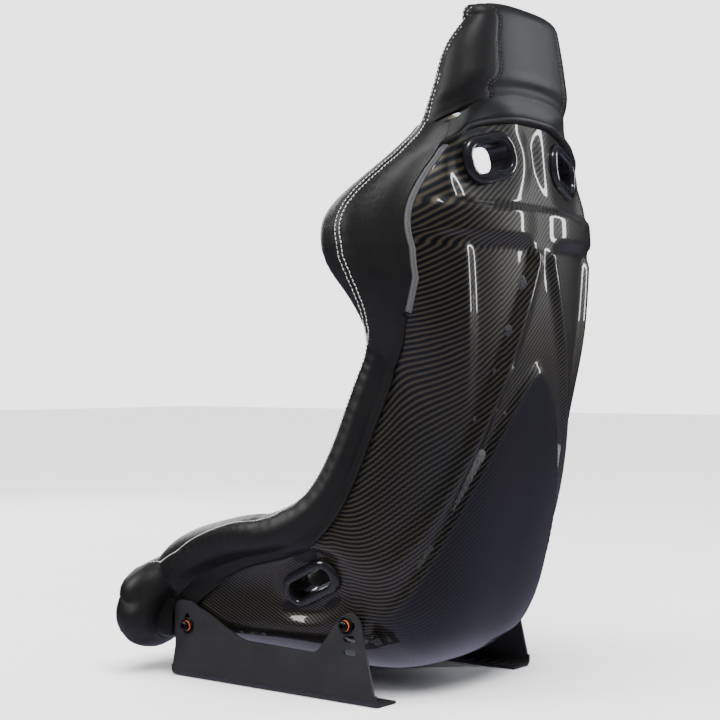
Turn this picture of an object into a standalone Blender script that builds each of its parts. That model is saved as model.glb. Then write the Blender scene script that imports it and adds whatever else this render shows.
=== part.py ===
"""Fixed-back racing seat: carbon shell, separate upholstery, harness bezels and side-mount brackets.

Frame: +Z up, the seat faces -Y, the occupant's left is +X, the ground is z = 0.
"""
import math

import bmesh
import bpy
import numpy as np

# ---------------------------------------------------------------- driving dimensions (metres)
GAP = 0.0003
CLEAR = 0.0005                # upholstery to shell
SHELL_THICKNESS = 0.004
SIDE_FACE_X = 0.1805          # flat mounting faces on the sides of the shell
SIDE_FACE_TOP = 0.128
SIDE_FLARE_HEIGHT = 0.090
SIDE_FLARE = 0.050
SIDE_FACE_FRONT = -0.219

BRACKET_OUTER_X = 0.1910
BRACKET_THICKNESS = 0.0035
BRACKET_FLANGE = 0.045
BRACKET_BEND = 0.006
BRACKET_FRONT_Y = -0.216
BRACKET_REAR_Y = 0.155
BOLT_SPACING = 0.290
REAR_BOLT = (0.1065, 0.1034)
FRONT_BOLT = (REAR_BOLT[0] - BOLT_SPACING, 0.0745)
SLOT_HALF_WIDTH = 0.0045
REAR_SLOT_LENGTH = 0.021
REAR_SLOT_PITCH = 0.0175
NOSE_UP = math.radians(2.4)        # tilt limits about the rear bolts
NOSE_DOWN = math.radians(0.8)
FLANGE_SLOT_PITCH = 0.020
FLANGE_SLOT_LENGTH = 0.026

BOLT_RADIUS = 0.004
BOLT_TIP_X = 0.1600
HEAD_RADIUS = 0.0072
HEAD_HEIGHT = 0.0055
SPACER_RADIUS = 0.011
WASHER_RADIUS = 0.0115
WASHER_THICKNESS = 0.0016
SPRING_WASHER_RADIUS = 0.0074
SPRING_WASHER_THICKNESS = 0.0020
SOCKET_RADIUS = 0.0026
SOCKET_DEPTH = 0.0030
INSERT_RADIUS = 0.0055
INSERT_FLANGE = 0.0095

SLEEVE_WALL = 0.0025
SEAM_INSET = 0.0012
END_GAP = 0.0015
CROWN_ROUND = 0.0185
FRONT_LEG = 0.012             # reach of the bolster over the front lip at the centre
BACK_PAD = 0.026
SEAT_PAD = 0.046
ROLL_SIDE = 0.0185
ROLL_FRONT = 0.0300
HEADREST_BACK = 0.0130
HEADREST_FRONT = 0.0260

FOOTPRINT_SHIFT = 0.0090      # the loft is drawn about a datum this far ahead of the footprint's middle

COLUMNS_PAD = 5
COLUMNS_BOLSTER = 3
COLUMNS_HEM = 3

# Loft stations from the front lip round the pan and up to the crown:
# spine (y, z), rim (x, y, z), squareness of the section (across, in depth)
STATIONS = np.array([
    (-0.2985, 0.0705, 0.006, -0.2990, 0.0705, 2.0, 2.0),
    (-0.272, 0.056, 0.112, -0.2920, 0.0620, 2.4, 2.0),
    (-0.235, 0.047, 0.186, -0.2740, 0.0600, 2.6, 2.0),
    (-0.190, 0.041, 0.224, -0.2560, 0.0930, 2.6, 2.0),
    (-0.145, 0.035, 0.231, -0.2240, 0.1450, 2.6, 2.0),
    (-0.090, 0.029, 0.232, -0.1640, 0.1830, 2.6, 2.0),
    (-0.030, 0.025, 0.231, -0.0850, 0.2050, 2.6, 2.0),
    (0.055, 0.024, 0.223, 0.0050, 0.2270, 2.8, 2.2),
    (0.135, 0.033, 0.214, 0.0700, 0.2620, 3.0, 2.4),
    (0.193, 0.075, 0.206, 0.1050, 0.3120, 3.1, 2.5),
    (0.222, 0.150, 0.200, 0.1290, 0.3680, 3.1, 2.5),
    (0.243, 0.240, 0.196, 0.1510, 0.4250, 3.1, 2.5),
    (0.265, 0.340, 0.198, 0.1700, 0.4750, 3.0, 2.4),
    (0.283, 0.440, 0.222, 0.1670, 0.5270, 2.8, 2.1),
    (0.293, 0.540, 0.253, 0.1450, 0.5800, 2.6, 1.9),
    (0.295, 0.620, 0.258, 0.1390, 0.6280, 2.6, 1.9),
    (0.290, 0.700, 0.215, 0.1670, 0.6880, 2.8, 2.0),
    (0.279, 0.770, 0.155, 0.1960, 0.7500, 3.2, 2.2),
    (0.268, 0.840, 0.121, 0.2120, 0.8200, 3.6, 2.4),
    (0.2630, 0.880, 0.112, 0.2220, 0.8640, 3.4, 2.3),
    (0.2600, 0.911, 0.097, 0.2360, 0.8980, 3.2, 2.2),
])
ROWS_PER_STATION = (1, 2, 2, 1, 1, 1, 2, 2, 2, 2, 2, 2, 2, 2, 2, 2, 2, 3, 2, 1)
STATION_SEAT_END = 9
STATION_LUMBAR_END = 12
STATION_HEAD = 17

# harness slots: centre, long axis, outward normal, opening core (half length, half height), radius
SHOULDER = {"centre": (0.092, 0.267, 0.718), "along": (-0.945, 0.20, 0.25),
            "out": (0.225, 0.970, 0.090), "core": (0.020, 0.004), "radius": 0.014, "flange": 0.015}
LAP = {"centre": (0.1865, 0.0450, 0.1540), "along": (0.10, 0.905, 0.415),
       "out": (0.950, 0.020, -0.310), "core": (0.0270, 0.0), "radius": 0.012, "flange": 0.014}
CROTCH = {"centre": (0.0, -0.120, 0.032), "along": (1.0, 0.0, 0.0),
          "out": (0.0, -0.09, -0.996), "core": (0.019, 0.0), "radius": 0.011, "flange": 0.012}
SHOULDER_DEPTH = 0.033
LAP_DEPTH = 0.034
CROTCH_DEPTH = 0.052


# ---------------------------------------------------------------- scene helpers
def clear_scene():
    for obj in list(bpy.data.objects):
        bpy.data.objects.remove(obj)
    for collection in list(bpy.data.collections):
        bpy.data.collections.remove(collection)


def new_collection(name):
    collection = bpy.data.collections.new(name)
    bpy.context.scene.collection.children.link(collection)
    return collection


def finish_mesh(name, bm, collection):
    """Turn the faces outward and link the mesh as an object."""
    bmesh.ops.recalc_face_normals(bm, faces=bm.faces[:])
    if bm.calc_volume(signed=True) < 0.0:
        bmesh.ops.reverse_faces(bm, faces=bm.faces[:])
    mesh = bpy.data.meshes.new(name)
    bm.to_mesh(mesh)
    bm.free()
    obj = bpy.data.objects.new(name, mesh)
    collection.objects.link(obj)
    return obj


def make_object(name, points, faces, collection):
    bm = bmesh.new()
    verts = [bm.verts.new(point) for point in points]
    for face in faces:
        bm.faces.new([verts[i] for i in face])
    return finish_mesh(name, bm, collection)


def material(name, colour, roughness, metallic=0.0, coat=0.0):
    mat = bpy.data.materials.new(name)
    mat.use_nodes = True
    shader = mat.node_tree.nodes["Principled BSDF"]
    shader.inputs["Base Color"].default_value = (*colour, 1.0)
    shader.inputs["Roughness"].default_value = roughness
    shader.inputs["Metallic"].default_value = metallic
    shader.inputs["Coat Weight"].default_value = coat
    return mat


def boolean(obj, tool, operation="DIFFERENCE"):
    modifier = obj.modifiers.new(operation.lower(), "BOOLEAN")
    modifier.operation = operation
    modifier.solver = "EXACT"
    modifier.object = tool
    tool.hide_render = True
    tool.display_type = "WIRE"


def unit(vector):
    vector = np.asarray(vector, float)
    return vector / np.linalg.norm(vector, axis=-1, keepdims=True)


def ease(value):
    value = np.clip(value, 0.0, 1.0)
    return value * value * (3.0 - 2.0 * value)


# ---------------------------------------------------------------- lofted surface
def spline_through(knots, values):
    """Natural cubic spline through the station values."""
    count = len(knots)
    step = np.diff(knots)
    matrix = np.zeros((count, count))
    right = np.zeros((count, values.shape[1]))
    matrix[0, 0] = matrix[-1, -1] = 1.0
    for i in range(1, count - 1):
        matrix[i, i - 1:i + 2] = step[i - 1], 2.0 * (step[i - 1] + step[i]), step[i]
        right[i] = 6.0 * ((values[i + 1] - values[i]) / step[i] - (values[i] - values[i - 1]) / step[i - 1])
    bend = np.linalg.solve(matrix, right)

    def evaluate(v):
        i = int(np.clip(np.searchsorted(knots, v) - 1, 0, count - 2))
        h = step[i]
        after = knots[i + 1] - v
        before = v - knots[i]
        curve = (bend[i] * after ** 3 + bend[i + 1] * before ** 3) / (6.0 * h)
        low = (values[i] / h - bend[i] * h / 6.0) * after
        high = (values[i + 1] / h - bend[i + 1] * h / 6.0) * before
        return curve + low + high
    return evaluate


def station_knots():
    spine = np.linalg.norm(np.diff(STATIONS[:, :2], axis=0), axis=1)
    rim = np.linalg.norm(np.diff(STATIONS[:, 2:5], axis=0), axis=1)
    knots = np.concatenate([[0.0], np.cumsum(0.5 * (spine + rim))])
    return knots / knots[-1]


KNOTS = station_knots()
STATION_AT = spline_through(KNOTS, STATIONS)
SWEEP = np.linspace(0.0, 0.5 * math.pi, 181)


def soft_min(a, b, radius=0.012):
    k = np.clip(0.5 + 0.5 * (b - a) / radius, 0.0, 1.0)
    return b * (1.0 - k) + a * k - radius * k * (1.0 - k)


def half_section(v):
    """Half of one cross-section from spine to rim, and its length."""
    y0, z0, width, y1, z1, across, depth = STATION_AT(v)
    rise = 1.0 - np.cos(SWEEP) ** (2.0 / depth)
    x = width * np.sin(SWEEP) ** (2.0 / across)
    y = y0 + (y1 - y0) * rise
    z = z0 + (z1 - z0) * rise
    flare = np.clip((z - SIDE_FACE_TOP) / SIDE_FLARE_HEIGHT, 0.0, 1.4) ** 2
    lip = ease((SIDE_FACE_FRONT - y) / 0.030)
    x = soft_min(x, SIDE_FACE_X + SIDE_FLARE * np.maximum(flare, lip))
    points = np.stack([x, y, z], axis=1)
    along = np.concatenate([[0.0], np.cumsum(np.linalg.norm(np.diff(points, axis=0), axis=1))])
    return points, along


def section_length(v):
    return half_section(v)[1][-1]


def base_row(t, v):
    """Points of the plain loft at fractions t of the half section (negative = right side)."""
    points, along = half_section(v)
    where = np.abs(t) * along[-1]
    row = np.stack([np.interp(where, along, points[:, k]) for k in range(3)], axis=1)
    row[:, 0] *= np.where(np.asarray(t) < 0.0, -1.0, 1.0)
    return row


def frame_row(t, v, e=0.006):
    """Points, outward normals and forward tangents of the loft along one section."""
    t = np.asarray(t, float)
    v0, v1 = max(0.0, v - e), min(1.0, v + e)
    forward = unit(base_row(t, v1) - base_row(t, v0))
    across = unit(base_row(np.clip(t + e, -1.0, 1.0), v) - base_row(np.clip(t - e, -1.0, 1.0), v))
    normal = unit(np.cross(forward, across))
    return base_row(t, v), normal, forward


def relief(points, normals):
    """Raised and sunk features moulded into the back, as a height along the normal."""
    x = np.abs(points[:, 0])
    z = points[:, 2]
    facing = ease((normals[:, 1] - 0.35) / 0.30)
    shelf = -0.0110 * ease((z - 0.640) / 0.030) * ease((0.790 - z) / 0.050) * ease((0.175 - x) / 0.030)
    band = 0.0050 * ease((z - 0.606) / 0.014) * ease((0.665 - z) / 0.024) * ease((0.200 - x) / 0.030)
    ridge_line = 0.020 + 0.145 * np.clip((0.575 - z) / 0.375, 0.0, 1.2)
    ridge = 0.0060 * np.exp(-((x - ridge_line) / 0.020) ** 2) * ease((0.590 - z) / 0.05) * ease((z - 0.14) / 0.08)
    arch_top = 0.452 - 1.15 * x ** 1.02
    arch = 0.0060 * ease((arch_top - z) / 0.030) * ease((z - 0.03) / 0.06)
    hollow_line = 0.105 + 0.10 * np.clip((0.58 - z) / 0.35, 0.0, 1.0)
    hollow = -0.0050 * np.exp(-((x - hollow_line) / 0.024) ** 2) * ease((0.590 - z) / 0.04) * ease((z - 0.32) / 0.08)
    return facing * (shelf + band + ridge + arch + hollow)


def x_frame(side, y, z, x=0.0):
    return (np.array([side * x, y, z]), np.array([0.0, 1.0, 0.0]), np.array([0.0, 0.0, 1.0]),
            np.array([side, 0.0, 0.0]))


def mirrored(spec, side):
    flip = np.array([side, 1.0, 1.0])
    centre = np.array(spec["centre"]) * flip
    out = unit(np.array(spec["out"]) * flip)
    along = np.array(spec["along"]) * flip
    along = unit(along - out * np.dot(along, out))
    return centre, along, unit(np.cross(out, along)), out


def flatten(points, frame, inner, outer, stretch=1.0):
    """Press the surface onto a plane inside an ellipse and let it blend out to a larger one."""
    centre, along, across, out = frame
    offset = points - centre
    height = offset @ out
    radius = np.hypot(offset @ along, stretch * (offset @ across))
    weight = ease((outer - radius) / (outer - inner)) * ease((0.040 - np.abs(height)) / 0.015)
    return points - (height * weight)[:, None] * out


def shell_row(t, v):
    points, normal, forward = frame_row(t, v)
    points = points + normal * relief(points, normal)[:, None]
    for side in (1.0, -1.0):
        points = flatten(points, mirrored(SHOULDER, side), 0.060, 0.094, 1.25)
        points = flatten(points, mirrored(LAP, side), 0.058, 0.086, 1.6)
        for y, z in (FRONT_BOLT, REAR_BOLT):
            points = flatten(points, x_frame(side, y, z, SIDE_FACE_X), 0.014, 0.030)
    points = flatten(points, mirrored(CROTCH, 1.0), 0.044, 0.064, 1.6)
    return points, normal, forward


# ---------------------------------------------------------------- shared grid
def row_values():
    values = []
    for i, pieces in enumerate(ROWS_PER_STATION):
        values.extend(np.linspace(KNOTS[i], KNOTS[i + 1], pieces, endpoint=False))
    return np.array(values + [1.0])


ROWS = row_values()
ROW_OF_STATION = np.concatenate([[0], np.cumsum(ROWS_PER_STATION)])


def bolster_depth(v):
    """Distance from the rim to the inner edge of the side bolster."""
    stations = (KNOTS[0], KNOTS[1], KNOTS[2], KNOTS[3], KNOTS[4], KNOTS[6], KNOTS[8], KNOTS[11], KNOTS[14],
                KNOTS[16], KNOTS[17], 1.0)
    depth = (0.018, 0.030, 0.064, 0.108, 0.140, 0.175, 0.205, 0.160, 0.165, 0.098, 0.070, 0.060)
    return min(np.interp(v, stations, depth), 0.62 * section_length(v))


def hem_depth(v):
    """Distance from the rim to the edge of the leather on the outside."""
    stations = (KNOTS[0], KNOTS[3], KNOTS[5], KNOTS[8], KNOTS[12], KNOTS[13], KNOTS[14], KNOTS[15],
                KNOTS[16], KNOTS[17], 1.0)
    depth = (0.050, 0.036, 0.036, 0.026, 0.024, 0.055, 0.098, 0.104, 0.074, 0.044, 0.030)
    return min(np.interp(v, stations, depth), 0.60 * bolster_depth(v) + 0.012)


def half_columns(v):
    length = section_length(v)
    edge = 1.0 - bolster_depth(v) / length
    hem = 1.0 - min(hem_depth(v), 0.8 * bolster_depth(v)) / length
    pad = np.linspace(0.0, edge, COLUMNS_PAD + 1)
    side = np.linspace(edge, hem, COLUMNS_BOLSTER + 1)[1:]
    rim = np.linspace(hem, 1.0, COLUMNS_HEM + 1)[1:]
    return np.concatenate([pad, side, rim])


def columns(v):
    half = half_columns(v)
    return np.concatenate([-half[:0:-1], half])


GRID = [shell_row(columns(v), v) for v in ROWS]
POINTS = np.array([row[0] for row in GRID])
NORMALS = np.array([row[1] for row in GRID])
FORWARD = np.array([row[2] for row in GRID])
MIDDLE = POINTS.shape[1] // 2
EDGE = COLUMNS_PAD
HEM = COLUMNS_PAD + COLUMNS_BOLSTER


def rim_outward():
    """Direction in the surface, square to the rim and pointing off it, for the left rim."""
    rim = POINTS[:, -1]
    tangent = unit(np.gradient(rim, axis=0))
    outward = unit(np.cross(tangent, NORMALS[:, -1]))
    inward = POINTS[:, -2] - rim
    flip = np.where(np.sum(outward * inward, axis=1) > 0.0, -1.0, 1.0)
    return outward * flip[:, None]


RIM_OUT = rim_outward()
RIM_OUT[0] = unit(RIM_OUT[0] * np.array([0.0, 1.0, 1.0]))
NORMALS[0] = unit(NORMALS[0] * np.array([0.0, 1.0, 1.0]))


# ---------------------------------------------------------------- solids from grids
def split_quad(a, b, c, d, rising):
    """Two triangles of the quad a-b-c-d; rising picks the a-c diagonal."""
    if rising:
        return [(a, b, c), (a, c, d)]
    return [(a, b, d), (b, c, d)]


def grid_faces(rows, cols, rising, start=0):
    faces = []
    for i in range(rows - 1):
        for j in range(cols - 1):
            a = start + i * cols + j
            faces += split_quad(a, a + 1, a + cols + 1, a + cols, rising(j))
    return faces


def mirrored_diagonals(cols):
    return lambda j: j >= (cols - 1) // 2


def sheet_solid(name, outer, inner, collection, rising=None):
    """Closed body between two point grids of one size."""
    rows, cols = outer.shape[:2]
    rising = rising or mirrored_diagonals(cols)
    half = rows * cols
    faces = grid_faces(rows, cols, rising) + grid_faces(rows, cols, rising, half)
    border = list(range(cols))
    border += [i * cols + cols - 1 for i in range(1, rows)]
    border += [(rows - 1) * cols + j for j in range(cols - 2, -1, -1)]
    border += [i * cols for i in range(rows - 2, 0, -1)]
    points = np.concatenate([outer.reshape(-1, 3), inner.reshape(-1, 3)])
    both_sides = outer[-1, 0, 0] * outer[-1, -1, 0] < 0.0
    for a, b in zip(border, border[1:] + border[:1]):
        wall_rising = not both_sides or points[a, 0] + points[b, 0] > 0.0
        faces += split_quad(a, b, b + half, a + half, wall_rising)
    return make_object(name, points, faces, collection)


def relax(grid, passes, last=-1):
    """Even out an open skin across its columns; the columns from last on stay put."""
    grid = grid.copy()
    stop = grid.shape[1] + last
    for _ in range(passes):
        mean = 0.5 * (grid[:, :-2] + grid[:, 2:])
        grid[:, 1:stop] += 0.5 * (mean - grid[:, 1:-1])[:, :stop - 1]
    return grid


def flip_x(grid):
    return grid * np.array([-1.0, 1.0, 1.0])


def build_shell(collection):
    return sheet_solid("shell", POINTS, POINTS - NORMALS * SHELL_THICKNESS, collection)


def pad_grid(first, last, thickness, edge_thickness, front=None, back=None):
    """Inner and outer grids of a pad lying inside the shell between the two bolsters."""
    under, top = [], []
    for i in range(first, last + 1):
        cols = slice(MIDDLE - EDGE, MIDDLE + EDGE + 1)
        points = POINTS[i, cols].copy()
        normal = NORMALS[i, cols]
        sideways = unit(POINTS[i, MIDDLE + EDGE] - POINTS[i, MIDDLE + EDGE - 1])
        points[-1] -= sideways * CLEAR
        points[0] -= sideways * np.array([-1.0, 1.0, 1.0]) * CLEAR
        if i == first and front is not None:
            points = points + FORWARD[i, cols] * front
        if i == last and back is not None:
            points = points - FORWARD[i, cols] * back
        u = np.linspace(-1.0, 1.0, points.shape[0])
        crown = np.sqrt(np.clip(1.0 - np.abs(u) ** 2.6, 0.0, 1.0))
        ends = min(1.0, 0.55 + 0.45 * min(i - first, last - i))
        height = (edge_thickness + (thickness - edge_thickness) * crown) * ends
        under.append(points - normal * (SHELL_THICKNESS + CLEAR))
        upper = points - normal * (SHELL_THICKNESS + CLEAR + height)[:, None]
        upper[-1] -= sideways * SEAM_INSET
        upper[0] -= sideways * np.array([-1.0, 1.0, 1.0]) * SEAM_INSET
        top.append(upper)
    return np.array(under), relax(np.array(top), 2)


def roll_radius(v):
    stations = (KNOTS[0], KNOTS[2], KNOTS[4], KNOTS[6], KNOTS[12], KNOTS[14], KNOTS[15], KNOTS[17], 1.0)
    radius = (ROLL_FRONT, ROLL_FRONT, 0.024, 0.020, ROLL_SIDE, 0.021, 0.021, ROLL_SIDE, ROLL_SIDE)
    return np.interp(v, stations, radius)


def bolster_grids(last):
    """Wrap section of the left side bolster: inner skin against the shell, outer skin in the open."""
    inner, outer = [], []
    for i in range(0, last + 1):
        v = ROWS[i]
        start = MIDDLE + EDGE
        hem = MIDDLE + HEM
        points = POINTS[i]
        normal = NORMALS[i]
        rim, out, up = points[-1], RIM_OUT[i], normal[-1]
        radius = roll_radius(v)
        inside = points[start:-1].copy()
        inside[0] += unit(points[start + 1] - points[start]) * CLEAR
        outside = points[-2:hem - 1:-1].copy()
        count = len(inside)
        if i == 0:
            inside += FORWARD[0, MIDDLE] * np.linspace(FRONT_LEG, 0.0, count)[:, None]
            outside += FORWARD[0, MIDDLE] * np.linspace(0.0, FRONT_LEG, len(outside))[:, None]
        length = np.linalg.norm(points[start] - rim)
        face = np.interp(v, (KNOTS[0], KNOTS[3], KNOTS[6], KNOTS[11], KNOTS[15], KNOTS[17]),
                         (0.020, 0.028, 0.036, 0.040, 0.038, 0.026))
        face = min(face, 0.30 * length + 0.006)
        edge_height = 0.72 * min(face, 0.4 * length + 0.004)
        share = np.linspace(0.0, 1.0, count + 1)[:-1]
        height = edge_height + (face - edge_height) * np.sin(math.pi * np.clip(share * 0.75, 0.0, 0.5))
        clear = CLEAR + 0.0010 * ease((KNOTS[6] - v) / (KNOTS[6] - KNOTS[4]))
        row_in = list(inside - normal[start:-1] * (SHELL_THICKNESS + clear))
        row_out = list(inside - normal[start:-1] * (SHELL_THICKNESS + clear + height)[:, None])
        row_in.append(rim + out * clear - up * (SHELL_THICKNESS + clear))
        row_out.append(rim + out * radius * 0.35 - up * (SHELL_THICKNESS + radius * 1.15))
        row_in.append(rim + out * clear - up * (SHELL_THICKNESS * 0.65))
        row_out.append(rim + out * radius * 0.90 - up * (SHELL_THICKNESS + radius * 0.42))
        row_in.append(rim + out * clear - up * (SHELL_THICKNESS * 0.35))
        row_out.append(rim + out * radius * 0.92 + up * radius * 0.25)
        row_in.append(rim + out * clear + up * clear)
        row_out.append(rim + out * radius * 0.35 + up * radius * 0.55)
        up_outside = normal[-2:hem - 1:-1]
        cover = np.linspace(0.62, 0.34, len(outside)) * radius
        cover[-1] = 0.0045
        row_in += list(outside + up_outside * clear)
        row_out += list(outside + up_outside * (clear + cover)[:, None])
        inner.append(row_in)
        outer.append(row_out)
    inner = np.array(inner)
    outer = relax(np.array(outer), 3, -3)
    lead_in = inner[0].copy()
    lead_out = outer[0].copy()
    lead_in[:, 0] = 0.0005
    lead_out[:, 0] = 0.0005
    inner = np.concatenate([lead_in[None], inner])
    outer = np.concatenate([lead_out[None], outer])
    inner[-1] -= np.array(FORWARD[last, -1]) * END_GAP
    outer[-1] -= np.array(FORWARD[last, -1]) * 2.5 * END_GAP
    return inner, outer


def trim_grids(first, last):
    """Narrow beading laid on the shell beside the leather edge at the shoulder."""
    low, high = [], []
    for i in range(first, last + 1):
        hem = MIDDLE + HEM
        point = POINTS[i, hem]
        normal = NORMALS[i, hem]
        inward = unit(POINTS[i, hem - 1] - point)
        start = point + inward * 0.0006
        end = point + inward * 0.0100
        base = np.array([start, 0.5 * (start + end), end]) + normal * (CLEAR + 0.0008)
        low.append(base)
        high.append(base + normal * np.array([0.0026, 0.0036, 0.0020])[:, None])
    return np.array(low), np.array(high)


def side_run(rim, out, up, steps):
    """Points round one rim from back to front, each (outward, upward) from the rim."""
    return [rim + out * a + up * b for a, b in steps]


def headrest_loop(i, lift=0.0, squeeze=1.0, skin="outer"):
    """One closed loop round the shell: the cavity wall or, for the outer skin, the padded surface."""
    first = ROW_OF_STATION[STATION_HEAD]
    lifted = unit(FORWARD[i, MIDDLE]) * lift
    points = POINTS[i] + lifted
    normal = NORMALS[i]
    back, front, back_normal = points, points, normal
    u = np.linspace(-1.0, 1.0, len(points))
    at_hem = i == first
    if at_hem:
        rise = 0.02 + 0.93 * (1.0 - u * u)
        back = points + (POINTS[i + 1] - points) * rise[:, None]
        back_normal = unit(normal + (NORMALS[i + 1] - normal) * rise[:, None])
        front = points + FORWARD[i] * CLEAR
    clear = CLEAR + 0.0002 + 0.0018 * ease((ROWS[i] - KNOTS[17]) / (KNOTS[18] - KNOTS[17]))
    if skin == "inner":
        behind = np.full(len(u), clear)
        ahead = np.full(len(u), SHELL_THICKNESS + clear)
        steps = ((clear, clear), (clear, -0.35 * SHELL_THICKNESS), (clear, -0.65 * SHELL_THICKNESS),
                 (clear, -SHELL_THICKNESS - clear))
    else:
        pad = HEADREST_BACK * squeeze * (0.45 if at_hem else 1.0)
        fill = HEADREST_FRONT * squeeze * (0.80 if at_hem else 1.0)
        radius = roll_radius(ROWS[i]) * (0.92 if at_hem else 1.0)
        reach = radius * squeeze
        behind = np.full(len(u), clear + pad)
        ahead = SHELL_THICKNESS + clear + fill * np.sqrt(1.0 - (0.75 * np.abs(u)) ** 3)
        steps = ((0.45 * reach, 0.80 * pad), (0.98 * reach, 0.15 * pad),
                 (0.94 * reach, -SHELL_THICKNESS - 0.45 * reach), (0.40 * reach, -SHELL_THICKNESS - 1.10 * reach))
    runs = []
    for side in (1.0, -1.0):
        flip = np.array([side, 1.0, 1.0])
        rim = front[-1] if side > 0.0 else front[0]
        runs.append(side_run(rim, RIM_OUT[i] * flip, NORMALS[i, -1] * flip, steps))
    back_points = (back + back_normal * behind[:, None])[1:-1]
    front_points = (front - normal * ahead[:, None])[1:-1]
    return np.concatenate([back_points, runs[0], front_points[::-1], runs[1][::-1]])


def headrest_loops():
    """Closed loops of the headrest cover: the cavity for the shell and the padded skin."""
    first = ROW_OF_STATION[STATION_HEAD]
    last = len(ROWS) - 1
    inner = [headrest_loop(i, skin="inner") for i in range(first, last + 1)]
    inner.append(headrest_loop(last, lift=0.0015, skin="inner"))
    outer = [headrest_loop(i) for i in range(first, last + 1)]
    for degrees in (35.0, 62.0, 82.0):
        angle = math.radians(degrees)
        outer.append(headrest_loop(last, CROWN_ROUND * math.sin(angle), math.cos(angle)))
    outer = np.array(outer)
    for _ in range(3):
        beside = 0.5 * (np.roll(outer[1:], 1, axis=1) + np.roll(outer[1:], -1, axis=1))
        outer[1:] += 0.5 * (beside - outer[1:])
    return np.array(inner), outer


def closed_cap(loop, n_face, n_side):
    """New points and an index grid that bridge a loop of back, left, front and right runs.

    Points of the loop keep their index; new points are numbered from 0 and stored as negatives below -1.
    """
    back = list(range(0, n_face))
    left = list(range(n_face, n_face + n_side))
    front = list(range(n_face + n_side, 2 * n_face + n_side))[::-1]
    right = list(range(2 * n_face + n_side, 2 * (n_face + n_side)))[::-1]
    grid = np.full((n_side + 2, n_face + 2), -1, int)
    new = []
    grid[0, 1:-1] = back
    grid[-1, 1:-1] = front
    for k in range(n_side):
        grid[k + 1, -1] = left[k]
        grid[k + 1, 0] = right[k]
        share = (k + 1.0) / (n_side + 1.0)
        for j in range(n_face):
            grid[k + 1, j + 1] = -2 - len(new)
            new.append(loop[back[j]] + (loop[front[j]] - loop[back[j]]) * share)
    return np.array(new), grid


def cap_faces(grid, base, used):
    faces = []
    for a in range(grid.shape[0] - 1):
        for b in range(grid.shape[1] - 1):
            quad = (grid[a, b], grid[a, b + 1], grid[a + 1, b + 1], grid[a + 1, b])
            faces.append([int(base + q) if q >= 0 else int(used - 2 - q) for q in quad if q != -1])
    return faces


def loop_diagonal(j, n_face, n_side):
    """Diagonal choice that matches the shell on both faces of the loop."""
    if j < n_face + n_side:
        return j >= (n_face - 1) // 2
    return j - n_face - n_side >= (n_face - 1) // 2


def build_headrest(collection):
    inner, outer = headrest_loops()
    count = inner.shape[1]
    n_side = 4
    n_face = count // 2 - n_side
    points = [outer.reshape(-1, 3), inner.reshape(-1, 3)]
    start_inner = outer.shape[0] * count
    faces = []
    for base, rows in ((0, outer.shape[0]), (start_inner, inner.shape[0])):
        for i in range(rows - 1):
            a = base + i * count
            b = a + count
            for j in range(count):
                k = (j + 1) % count
                faces += split_quad(a + j, a + k, b + k, b + j, loop_diagonal(j, n_face, n_side))
    for j in range(count):
        k = (j + 1) % count
        faces += split_quad(j, start_inner + j, start_inner + k, k, True)
    used = start_inner + inner.shape[0] * count
    for loop, base in ((outer[-1], start_inner - count), (inner[-1], used - count)):
        new, grid = closed_cap(loop, n_face, n_side)
        faces += cap_faces(grid, base, used)
        points.append(new)
        used += len(new)
    return make_object("headrest_cover", np.concatenate(points), faces, collection)


# ---------------------------------------------------------------- rings, prisms and turned parts
def rounded_loop(core, radius, arc_steps=3):
    """Outline at one distance from a flat rectangle core; returns 2-D points."""
    a, b = core
    corners = ((a, b), (-a, b), (-a, -b), (a, -b))
    outline = []
    for i, (x, y) in enumerate(corners):
        for step in range(arc_steps + 1):
            angle = math.radians(90.0 * i + 90.0 * step / arc_steps)
            outline.append((x + radius * math.cos(angle), y + radius * math.sin(angle)))
    return drop_repeats(outline)


def drop_repeats(outline):
    kept = []
    for point in outline:
        if not kept or math.dist(point, kept[-1]) > 1e-6:
            kept.append(point)
    if math.dist(kept[0], kept[-1]) < 1e-6:
        kept.pop()
    return kept


def place(frame, u, w, h):
    centre, along, across, out = frame
    return centre + along * u + across * w + out * h


def swept_ring(name, frame, core, profile, collection):
    """Closed ring: one profile of (distance from core, height) carried round the core."""
    loops = [rounded_loop(core, radius) for radius, _ in profile]
    count = len(loops[0])
    points = []
    for loop, (_, height) in zip(loops, profile):
        points += [place(frame, u, w, height) for u, w in loop]
    faces = []
    for i in range(len(profile)):
        n = (i + 1) % len(profile)
        for j in range(count):
            k = (j + 1) % count
            faces.append((i * count + j, i * count + k, n * count + k, n * count + j))
    return make_object(name, points, faces, collection)


def prism(name, frame, outline, low, high, collection):
    """Flat outline extruded between two heights."""
    bm = bmesh.new()
    corners = [bm.verts.new(place(frame, u, w, low)) for u, w in outline]
    base = bm.faces.new(corners)
    top = bmesh.ops.extrude_face_region(bm, geom=[base])
    moved = [item for item in top["geom"] if isinstance(item, bmesh.types.BMVert)]
    bmesh.ops.translate(bm, verts=moved, vec=frame[3] * (high - low))
    return finish_mesh(name, bm, collection)


def circle(radius, count=16):
    return [(radius * math.cos(2.0 * math.pi * k / count), radius * math.sin(2.0 * math.pi * k / count))
            for k in range(count)]


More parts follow.
